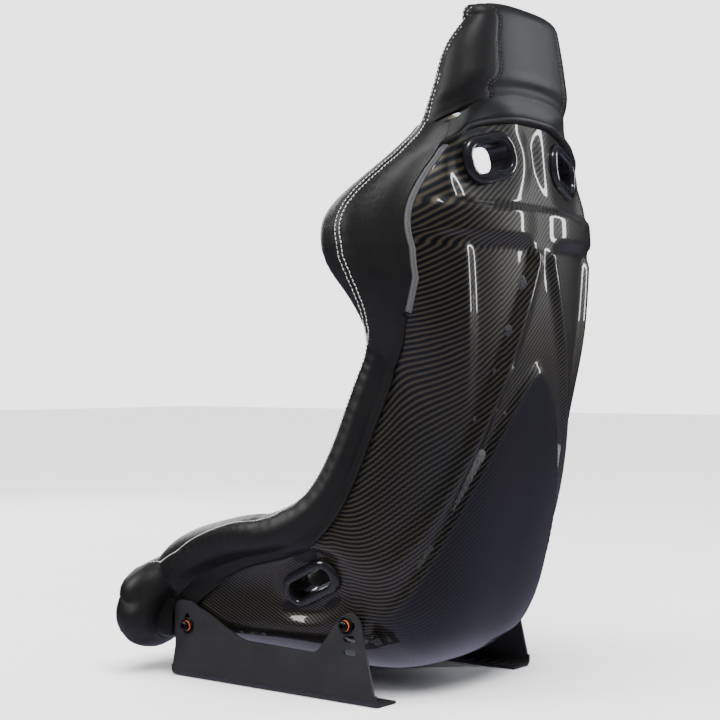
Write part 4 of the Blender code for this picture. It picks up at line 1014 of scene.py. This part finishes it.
def build_pad(name, node, first, last, thickness, edge_thickness, channels, tools):
    gap = 0.0016 / LOFT_LENGTH
    values = np.linspace(first + gap, last - gap, max(40, int((last - first) * LOFT_LENGTH / 0.0045)))
    share = np.linspace(0.0, 1.0, len(values))
    near_end = np.clip(1.0 - np.minimum(share, 1.0 - share) / 0.07, 0.0, 1.0)
    round_off = np.sqrt(np.clip(1.0 - near_end ** 2, 0.0, 1.0))
    sewn = np.zeros(len(values))
    for k in range(1, channels):
        sewn += np.exp(-((share - k / channels) * (last - first) * LOFT_LENGTH / 0.0042) ** 2)
    under, top = [], []
    for v, end, press in zip(values, round_off, sewn):
        low, high = pad_row(v, thickness, edge_thickness, 0.55 + 0.45 * end - 0.16 * press)
        under.append(resample(low, 61))
        top.append(resample(high, 61))
    obj = sheet_solid(name, np.array(top), np.array(under))
    if tools:
        cut(obj, tools)
    sharpen(obj, 55.0)
    return finish_piece(obj, KNIT, [node])


# ---------------------------------------------------------------- headrest
def headrest_profile(v, lift=0.0, squeeze=1.0, skin="outer"):
    points, normal, forward, out = section(v)
    points = points + unit(forward[MIDDLE]) * lift
    u = np.linspace(-1.0, 1.0, len(points))
    low = ease(1.0 - (v - HEAD) / 0.055)
    back, back_normal = points, normal
    if low > 0.0:
        ahead = shell_row(columns(min(1.0, v + 0.028)), min(1.0, v + 0.028))
        rise = (0.02 + 0.93 * (1.0 - u * u)) * low
        back = points + (ahead[0] - points) * rise[:, None]
        back_normal = unit(normal + (ahead[1] - normal) * rise[:, None])
    clear = CLEAR + 0.0002 + 0.0018 * ease((v - HEAD) / (KNOTS[18] - HEAD))
    if skin == "inner":
        behind = np.full(len(u), clear)
        ahead_height = np.full(len(u), SHELL_THICKNESS + clear)
        steps = ((clear, clear), (clear, -0.35 * SHELL_THICKNESS), (clear, -0.65 * SHELL_THICKNESS),
                 (clear, -SHELL_THICKNESS - clear))
    else:
        edge = ease(1.0 - (v - HEAD) / 0.010)
        pad = HEADREST_BACK * squeeze * (1.0 - 0.55 * low) * (1.0 - 0.45 * edge)
        fill = HEADREST_FRONT * squeeze * (1.0 - 0.20 * low)
        reach = roll_radius(v) * squeeze * (1.0 - 0.08 * low)
        behind = np.full(len(u), clear + pad)
        ahead_height = SHELL_THICKNESS + clear + fill * np.sqrt(1.0 - (0.75 * np.abs(u)) ** 3)
        steps = ((0.45 * reach, 0.80 * pad), (0.98 * reach, 0.15 * pad),
                 (0.94 * reach, -SHELL_THICKNESS - 0.45 * reach),
                 (0.40 * reach, -SHELL_THICKNESS - 1.10 * reach))
    mirror = np.array([-1.0, 1.0, 1.0])
    runs = []
    for turn in (np.ones(3), mirror):
        rim = points[-1] if turn[0] > 0.0 else points[0]
        runs.append([rim + out * turn * a + normal[-1] * turn * b for a, b in steps])
    back_points = (back + back_normal * behind[:, None])[1:-1]
    front_points = (points - normal * ahead_height[:, None])[1:-1]
    loop = np.concatenate([back_points, runs[0], front_points[::-1], runs[1][::-1]])
    if skin == "outer":
        for _ in range(3):
            beside = 0.5 * (np.roll(loop, 1, axis=0) + np.roll(loop, -1, axis=0))
            loop = loop + 0.5 * (beside - loop)
    return loop


def build_headrest():
    count = 160
    values = np.linspace(HEAD, 1.0, 44)
    outer = [resample(headrest_profile(v), count, closed=True) for v in values]
    for degrees in (10.0, 20.0, 30.0, 40.0, 50.0, 60.0, 70.0, 78.0, 85.0):
        angle = math.radians(degrees)
        lifted = headrest_profile(1.0, CROWN_ROUND * math.sin(angle), max(0.10, math.cos(angle)))
        outer.append(resample(lifted, count, closed=True))
    inner = [resample(headrest_profile(v, skin="inner"), count, closed=True) for v in values]
    inner.append(resample(headrest_profile(1.0, lift=0.0015, skin="inner"), count, closed=True))
    outer, inner = np.array(outer), np.array(inner)
    down = np.gradient(outer, axis=0)
    over = 0.5 * (np.roll(outer, -1, axis=1) - np.roll(outer, 1, axis=1))
    normals = unit(np.cross(down, over))
    centre = outer.mean(axis=1, keepdims=True)
    if np.sum(normals * (outer - centre)) < 0.0:
        normals = -normals
    body = len(values)
    sideways = np.clip(np.abs(normals[:, :, 0]), 0.0, 1.0) ** 2
    fade = ease(np.arange(len(outer)) / 12.0)[:, None]
    outer = outer + normals * (HEADREST_SWELL * sideways * fade)[:, :, None]
    grooves = {}
    facing = normals @ SEAM_FACING
    for name, limit, onward in (("front", 0.62, 1), ("rear", 0.80, -1)):
        found = []
        for row in facing:
            j = int(np.argmax(row[:count // 2]))
            while row[j] > limit and 2 < j < count - 3:
                j += onward
            found.append(float(j))
        padded = np.concatenate([np.full(4, found[0]), found, np.full(4, found[-1])])
        grooves[name] = np.convolve(padded, np.ones(9) / 9.0, mode="valid")
    pressed = outer.copy()
    for name, found in grooves.items():
        line = sample_columns(outer, found)
        for mirror in (np.ones(3), np.array([-1.0, 1.0, 1.0])):
            gap = np.linalg.norm(outer - (line * mirror)[:, None, :], axis=2)
            pressed -= normals * (0.0015 * np.exp(-(gap / 0.0022) ** 2))[:, :, None]
    points = [pressed.reshape(-1, 3), inner.reshape(-1, 3)]
    start_inner = outer.shape[0] * count
    faces = []
    for base, rows in ((0, outer.shape[0]), (start_inner, inner.shape[0])):
        for i in range(rows - 1):
            for j in range(count):
                k = (j + 1) % count
                a, b = base + i * count, base + (i + 1) * count
                faces.append((a + j, a + k, b + k, b + j))
    for j in range(count):
        k = (j + 1) % count
        faces.append((j, start_inner + j, start_inner + k, k))
    used = start_inner + inner.shape[0] * count
    for loop, base in ((pressed[-1], start_inner - count), (inner[-1], used - count)):
        faces += cap_strip(loop, base, count)
    obj = add_mesh("headrest", np.concatenate(points), faces)
    sharpen(obj, 60.0)
    finish_piece(obj, BACK_LEATHER, ["headrest_cover"])
    for name, offsets in (("front", (0.0034, -0.0034)), ("rear", (0.0030, -0.0030))):
        found = grooves[name]
        line = sample_columns(pressed, found)[:body + 5]
        line_normals = unit(sample_columns(normals, found))[:body + 5]
        beside = unit(np.cross(np.gradient(line, axis=0), line_normals))
        look = PALE_THREAD if name == "front" else DARK_THREAD
        for tag, offset in zip("ab", offsets):
            for side_name, turn in (("left", np.asarray), ("right", flip)):
                stitches(f"stitch_head_{name}_{tag}_{side_name}", turn(line + beside * offset),
                         turn(line_normals), 0.0058, 0.0042, 0.00062, look)
    return values, pressed, normals


def loft_point(column, v):
    """Point and normal of the shell's outer face at a fractional section column."""
    t = np.interp(column, np.arange(-MIDDLE, MIDDLE + 1), columns(v))
    points, normal, _ = shell_row(np.array([t]), v)
    return points[0], normal[0]


def build_side_hem():
    """Leather carried from each bolster down the outer side of the shell."""
    values = np.linspace(0.5 * KNOTS[1], KNOTS[13] + 0.3 * (KNOTS[14] - KNOTS[13]), 240)
    share = np.concatenate([np.linspace(-0.25, 0.80, 9)[:-1], np.linspace(0.80, 1.0, 12)])
    under, over = [], []
    for v in values:
        arc = section_length(v)
        start = columns(v)[MIDDLE + HEM]
        width = float(np.interp(v, SIDE_HEM_AT, SIDE_HEM_WIDTH))
        row, normal, _ = shell_row(start - share * width / arc, v)
        roll = np.sqrt(np.clip(1.0 - ((share - 0.90) / 0.10) ** 2, 0.0, 1.0)) * (share > 0.80)
        height = 0.0026 + 0.0016 * roll + 0.0018 * np.clip(1.0 - share, 0.0, 1.0)
        height[-1] = 0.0008
        under.append(row + normal * (CLEAR + 0.0001))
        over.append(row + normal * (CLEAR + height)[:, None])
    for side_name, turn in (("left", np.asarray), ("right", flip)):
        obj = sheet_solid(f"bolster_hem_{side_name}", turn(np.array(over)), turn(np.array(under)))
        sharpen(obj, 60.0)
        finish_piece(obj, LEATHER, [f"side_bolster_{side_name}"])


def build_hem_panel():
    """Leather drawn down over the top of the shell, ending in a rolled hem that arches between the wings."""
    across = np.linspace(-HEM, HEM, 121)
    share = np.concatenate([np.linspace(0.0, 0.72, 12)[:-1], np.linspace(0.72, 1.0, 16)])
    under, over = [], []
    for f in share:
        row, normal_row = [], []
        for c in across:
            above = 0.002 + HEM_TOP * (1.0 - (c / HEM) ** 2)
            below = HEM_DROP_SIDE * abs(c / HEM) ** 2.4
            point, normal = loft_point(c, HEAD + (above - f * (above + below)) / LOFT_LENGTH)
            row.append(point)
            normal_row.append(normal)
        row, normal_row = np.array(row), np.array(normal_row)
        roll = math.sqrt(max(0.0, 1.0 - ((f - 0.86) / 0.14) ** 2)) if f > 0.72 else 0.0
        height = 0.0030 + 0.0048 * roll - 0.0012 * math.exp(-((f - 0.74) / 0.03) ** 2)
        if f >= 1.0:
            height = 0.0012
        under.append(row + normal_row * (CLEAR + 0.0001))
        over.append(row + normal_row * (CLEAR + height))
    obj = sheet_solid("headrest_hem", np.array(over), np.array(under))
    sharpen(obj, 60.0)
    return finish_piece(obj, BACK_LEATHER, ["headrest_cover"])


def cap_strip(loop, base, count):
    """Bridge a flat closed loop across its short direction."""
    left = int(np.argmax(loop[:, 0]))
    right = int(np.argmin(loop[:, 0]))
    ahead = [(left + k) % count for k in range((right - left) % count + 1)]
    behind = [(left - k) % count for k in range((left - right) % count + 1)]
    faces = []
    total = min(len(ahead), len(behind))
    for k in range(total - 1):
        quad = [ahead[k], ahead[k + 1], behind[k + 1], behind[k]]
        kept = list(dict.fromkeys(quad))
        if len(kept) > 2:
            faces.append([base + q for q in kept])
    longer = ahead if len(ahead) > len(behind) else behind
    anchor = (behind if longer is ahead else ahead)[-1]
    for k in range(total - 1, len(longer) - 1):
        tri = list(dict.fromkeys([longer[k], longer[k + 1], anchor]))
        if len(tri) > 2:
            faces.append([base + q for q in tri])
    return faces


# ---------------------------------------------------------------- edge trim
def build_trim():
    first, last = KNOTS[13] + 0.4 * (KNOTS[14] - KNOTS[13]), HEAD - (HEM_DROP_SIDE - 0.006) / LOFT_LENGTH
    values = np.linspace(first, last, 110)
    low, high, path, path_normals = [], [], [], []
    for v in values:
        points, normal, _, _ = section(v)
        hem = MIDDLE + HEM
        inward = unit(points[hem - 1] - points[hem])
        u = np.linspace(0.0, 1.0, 13)
        across = points[hem] + inward * (0.0006 + 0.0094 * u)[:, None]
        thick = 0.0012 + 0.0026 * np.sin(math.pi * u) ** 0.6
        thick -= 0.0011 * np.exp(-((u - 0.62) / 0.10) ** 2)
        base = across + normal[hem] * (CLEAR + 0.0006)
        low.append(base)
        high.append(base + normal[hem] * thick[:, None])
        path.append(high[-1][8])
        path_normals.append(normal[hem])
    low, high = np.array(low), np.array(high)
    for side_name, turn in (("left", np.asarray), ("right", flip)):
        obj = sheet_solid(f"hem_tape_{side_name}", turn(high), turn(low))
        finish_piece(obj, TAPE, [f"edge_trim_{side_name}"])
        stitches(f"stitch_tape_{side_name}", turn(path), turn(path_normals), 0.0046, 0.0030, 0.00050,
                 DARK_THREAD)


# ---------------------------------------------------------------- bezels and fasteners
def smooth_profile(profile, count=30):
    return [tuple(p) for p in resample(np.array(profile), count)]


def build_bezels():
    jobs = []
    for side_name, side in (("left", 1.0), ("right", -1.0)):
        jobs.append((f"shoulder_bezel_rear_{side_name}", f"shoulder_bezel_front_{side_name}",
                     mirrored(SHOULDER, side), SHOULDER, SHOULDER_DEPTH))
        jobs.append((f"lap_bezel_outer_{side_name}", f"lap_bezel_inner_{side_name}", mirrored(LAP, side), LAP,
                     LAP_DEPTH))
    jobs.append(("crotch_bezel_lower", "crotch_bezel_upper", mirrored(CROTCH, 1.0), CROTCH, CROTCH_DEPTH))
    for outer_node, inner_node, spec_side, spec, depth in jobs:
        r, flange = spec["radius"], spec["flange"]
        wall = r + SLEEVE_WALL
        crown = smooth_profile([(r + flange, 0.0012), (r + flange - 0.0004, 0.0034),
                                (r + 0.80 * flange, 0.0070),
                                (r + 0.45 * flange, 0.0090), (r + 0.15 * flange, 0.0080),
                                (r + 0.0006, 0.0050),
                                (r, 0.0020)], 26)
        profile = [(r, -depth), (wall, -depth), (wall, 0.0006), (r + flange - 0.0003, 0.0006)] + crown
        obj = swept_ring(f"{outer_node}_piece", spec_side, spec["core"], profile)
        sharpen(obj, 50.0)
        finish_piece(obj, GLOSS, [outer_node])
        face = depth - 0.0045
        hole = wall + GAP
        lip = smooth_profile([(hole + 0.0005, -face - 0.0052), (r + 0.45 * flange, -face - 0.0060),
                              (r + 0.80 * flange, -face - 0.0042), (r + 0.95 * flange, -face - 0.0014)], 12)
        profile = [(hole, -face), (hole, -face - 0.0045)] + lip + [(r + 0.95 * flange, -face)]
        obj = swept_ring(f"{inner_node}_piece", spec_side, spec["core"], profile)
        sharpen(obj, 50.0)
        finish_piece(obj, GLOSS, [inner_node])


def build_fasteners():
    washer = BRACKET_OUTER_X + GAP
    spring = washer + 0.0016 + GAP
    head = spring + 0.0020 + GAP
    top = head + 0.0055
    inner = SIDE_FACE_X - SHELL_THICKNESS - GAP
    bore = 0.0043
    for side_name, side in (("left", 1.0), ("right", -1.0)):
        for end, centre in (("front", FRONT_BOLT), ("rear", REAR_BOLT)):
            tag = f"{end}_{side_name}"
            bolt = [(0.0002, top - 0.0030), (0.0026, top - 0.0030), (0.0026, top - 0.0003), (0.0030, top),
                    (0.0046, top), (0.0060, top - 0.0006), (0.0069, top - 0.0018), (0.0072, head + 0.0016),
                    (0.0072, head + 0.0003), (0.0068, head), (0.004, head), (0.004, 0.1610), (0.003, 0.1600),
                    (0.0002, 0.1600)]
            ring = [(bore, washer + 0.0016), (0.0110, washer + 0.0016), (0.0115, washer + 0.0012),
                    (0.0115, washer + 0.0003), (0.0111, washer), (bore, washer)]
            spring_ring = [(bore, spring + 0.0020), (0.0070, spring + 0.0020), (0.0074, spring + 0.0016),
                           (0.0074, spring + 0.0004), (0.0070, spring), (bore, spring)]
            spacer = [(bore, 0.1872), (0.0106, 0.1872), (0.0110, 0.1868), (0.0110, 0.1812), (0.0106, 0.1808),
                      (bore, 0.1808)]
            insert = [(bore, SIDE_FACE_X - GAP), (0.0055, SIDE_FACE_X - GAP), (0.0055, inner),
                      (0.0095, inner), (0.0095, inner - 0.0018), (bore, inner - 0.0018)]
            for name, profile, look, slot, hexes in (
                    ("bolt", bolt, BLACK_STEEL, "bolt_steel", (1, 2)),
                    ("washer", ring, BLACK_STEEL, "zinc_steel", ()),
                    ("spring_washer", spring_ring, RED_WASHER, "red_washer", ()),
                    ("spacer", spacer, SPACER, "spacer_aluminium", ()),
                    ("threaded_insert", insert, ZINC, "zinc_steel", ())):
                obj = lathe(f"{name}_{tag}_piece", side, centre, profile, hexes=hexes)
                sharpen(obj, 35.0)
                finish_piece(obj, look, [f"{name}_{tag}"])


def dress_brackets():
    for side_name in ("left", "right"):
        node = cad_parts[f"bracket_{side_name}"]
        node.data.materials.clear()
        node.data.materials.append(POWDER)
        bevel = node.modifiers.new("edges", "BEVEL")
        bevel.width = 0.0006
        bevel.segments = 2
        bevel.limit_method = "ANGLE"
        bevel.angle_limit = math.radians(50.0)


# ---------------------------------------------------------------- studio
def area_light(name, location, target, size, power, colour=(1.0, 1.0, 1.0)):
    data = bpy.data.lights.new(name, "AREA")
    data.shape = "RECTANGLE"
    data.size, data.size_y = size
    data.energy = power
    data.color = colour
    obj = bpy.data.objects.new(name, data)
    obj.location = location
    obj.rotation_euler = (Vector(target) - Vector(location)).to_track_quat("-Z", "Y").to_euler()
    bpy.context.scene.collection.objects.link(obj)


def build_studio():
    world = bpy.data.worlds.new("studio")
    bpy.context.scene.world = world
    world.use_nodes = True
    tree = world.node_tree
    tree.nodes.clear()
    output = tree.nodes.new("ShaderNodeOutputWorld")
    path = tree.nodes.new("ShaderNodeLightPath")
    seen = tree.nodes.new("ShaderNodeBackground")
    seen.inputs["Color"].default_value = (0.93, 0.93, 0.935, 1.0)
    seen.inputs["Strength"].default_value = 3.2
    around = tree.nodes.new("ShaderNodeBackground")
    direction = tree.nodes.new("ShaderNodeTexCoord")
    split = tree.nodes.new("ShaderNodeSeparateXYZ")
    height = tree.nodes.new("ShaderNodeMapRange")
    height.inputs["From Min"].default_value = -1.0
    ramp = tree.nodes.new("ShaderNodeValToRGB")
    tones = ((0.00, (0.62, 0.60, 0.80)), (0.30, (0.34, 0.33, 0.45)), (0.44, (0.045, 0.046, 0.060)),
             (0.56, (0.030, 0.032, 0.042)), (0.80, (0.16, 0.17, 0.20)), (1.00, (0.40, 0.42, 0.46)))
    ramp.color_ramp.elements[0].position = tones[0][0]
    ramp.color_ramp.elements[0].color = (*tones[0][1], 1.0)
    ramp.color_ramp.elements[1].position = tones[-1][0]
    ramp.color_ramp.elements[1].color = (*tones[-1][1], 1.0)
    for place_at, tone in tones[1:-1]:
        ramp.color_ramp.elements.new(place_at).color = (*tone, 1.0)
    tree.links.new(direction.outputs["Generated"], split.inputs[0])
    tree.links.new(split.outputs["Z"], height.inputs["Value"])
    tree.links.new(height.outputs["Result"], ramp.inputs["Fac"])
    tree.links.new(ramp.outputs["Color"], around.inputs["Color"])
    around.inputs["Strength"].default_value = 0.8
    mix = tree.nodes.new("ShaderNodeMixShader")
    tree.links.new(path.outputs["Is Camera Ray"], mix.inputs[0])
    tree.links.new(around.outputs[0], mix.inputs[1])
    tree.links.new(seen.outputs[0], mix.inputs[2])
    tree.links.new(mix.outputs[0], output.inputs["Surface"])

    bm = bmesh.new()
    bmesh.ops.create_grid(bm, x_segments=8, y_segments=8, size=14.0)
    mesh = bpy.data.meshes.new("studio_floor")
    bm.to_mesh(mesh)
    bm.free()
    floor = bpy.data.objects.new("studio_floor", mesh)
    floor.location.z = -0.0005
    floor.visible_glossy = False
    mesh.materials.append(floor_look())
    bpy.context.scene.collection.objects.link(floor)

    sun = bpy.data.lights.new("overhead", "SUN")
    sun.energy = 8.5
    sun.angle = math.radians(55.0)
    overhead = bpy.data.objects.new("overhead", sun)
    overhead.rotation_euler = (math.radians(-14.0), math.radians(18.0), 0.0)
    overhead.visible_glossy = False
    bpy.context.scene.collection.objects.link(overhead)
    area_light("key", (2.4, -1.6, 2.0), (0.0, 0.0, 0.55), (1.0, 1.6), 70.0)
    area_light("back_strip", (-2.2, 2.0, 1.3), (0.0, 0.2, 0.45), (0.35, 1.7), 45.0, (0.93, 0.95, 1.0))
    area_light("top", (0.9, 1.5, 3.0), (0.0, 0.1, 0.5), (0.9, 0.5), 45.0)
    area_light("front_fill", (-1.2, -2.8, 1.6), (0.0, 0.0, 0.4), (1.8, 1.8), 45.0)


def build_camera():
    data = bpy.data.cameras.new("photo_camera")
    data.lens = 76.03
    data.sensor_width = 36.0
    camera = bpy.data.objects.new("photo_camera", data)
    camera.location = (1.7653, 1.3544 + FOOTPRINT_SHIFT, 0.4327)
    heading, pitch = math.radians(37.88), math.radians(0.60)
    level = math.cos(pitch)
    look = Vector((-math.cos(heading) * level, -math.sin(heading) * level, math.sin(pitch)))
    camera.rotation_euler = look.to_track_quat("-Z", "Y").to_euler()
    bpy.context.scene.collection.objects.link(camera)
    bpy.context.scene.camera = camera


build_camera()
build_studio()
build_shell()
build_bolsters()
build_pad("insert_seat", "seat_cushion", KNOTS[1], KNOTS[STATION_SEAT_END], SEAT_PAD, 0.024, 4,
          list(TUNNELS["crotch"])[::-1])
build_pad("insert_lumbar", "lumbar_pad", KNOTS[STATION_SEAT_END], KNOTS[STATION_LUMBAR_END], BACK_PAD + 0.010,
          0.024, 3, [])
build_pad("insert_back", "back_pad", KNOTS[STATION_LUMBAR_END], HEAD, BACK_PAD, 0.020, 3,
          [tool for side in ("left", "right") for tool in TUNNELS[f"shoulder_{side}"][::-1]])
build_headrest()
build_hem_panel()
build_side_hem()
build_trim()
build_bezels()
build_fasteners()
dress_brackets()
drop([tool for pair in TUNNELS.values() for tool in pair])
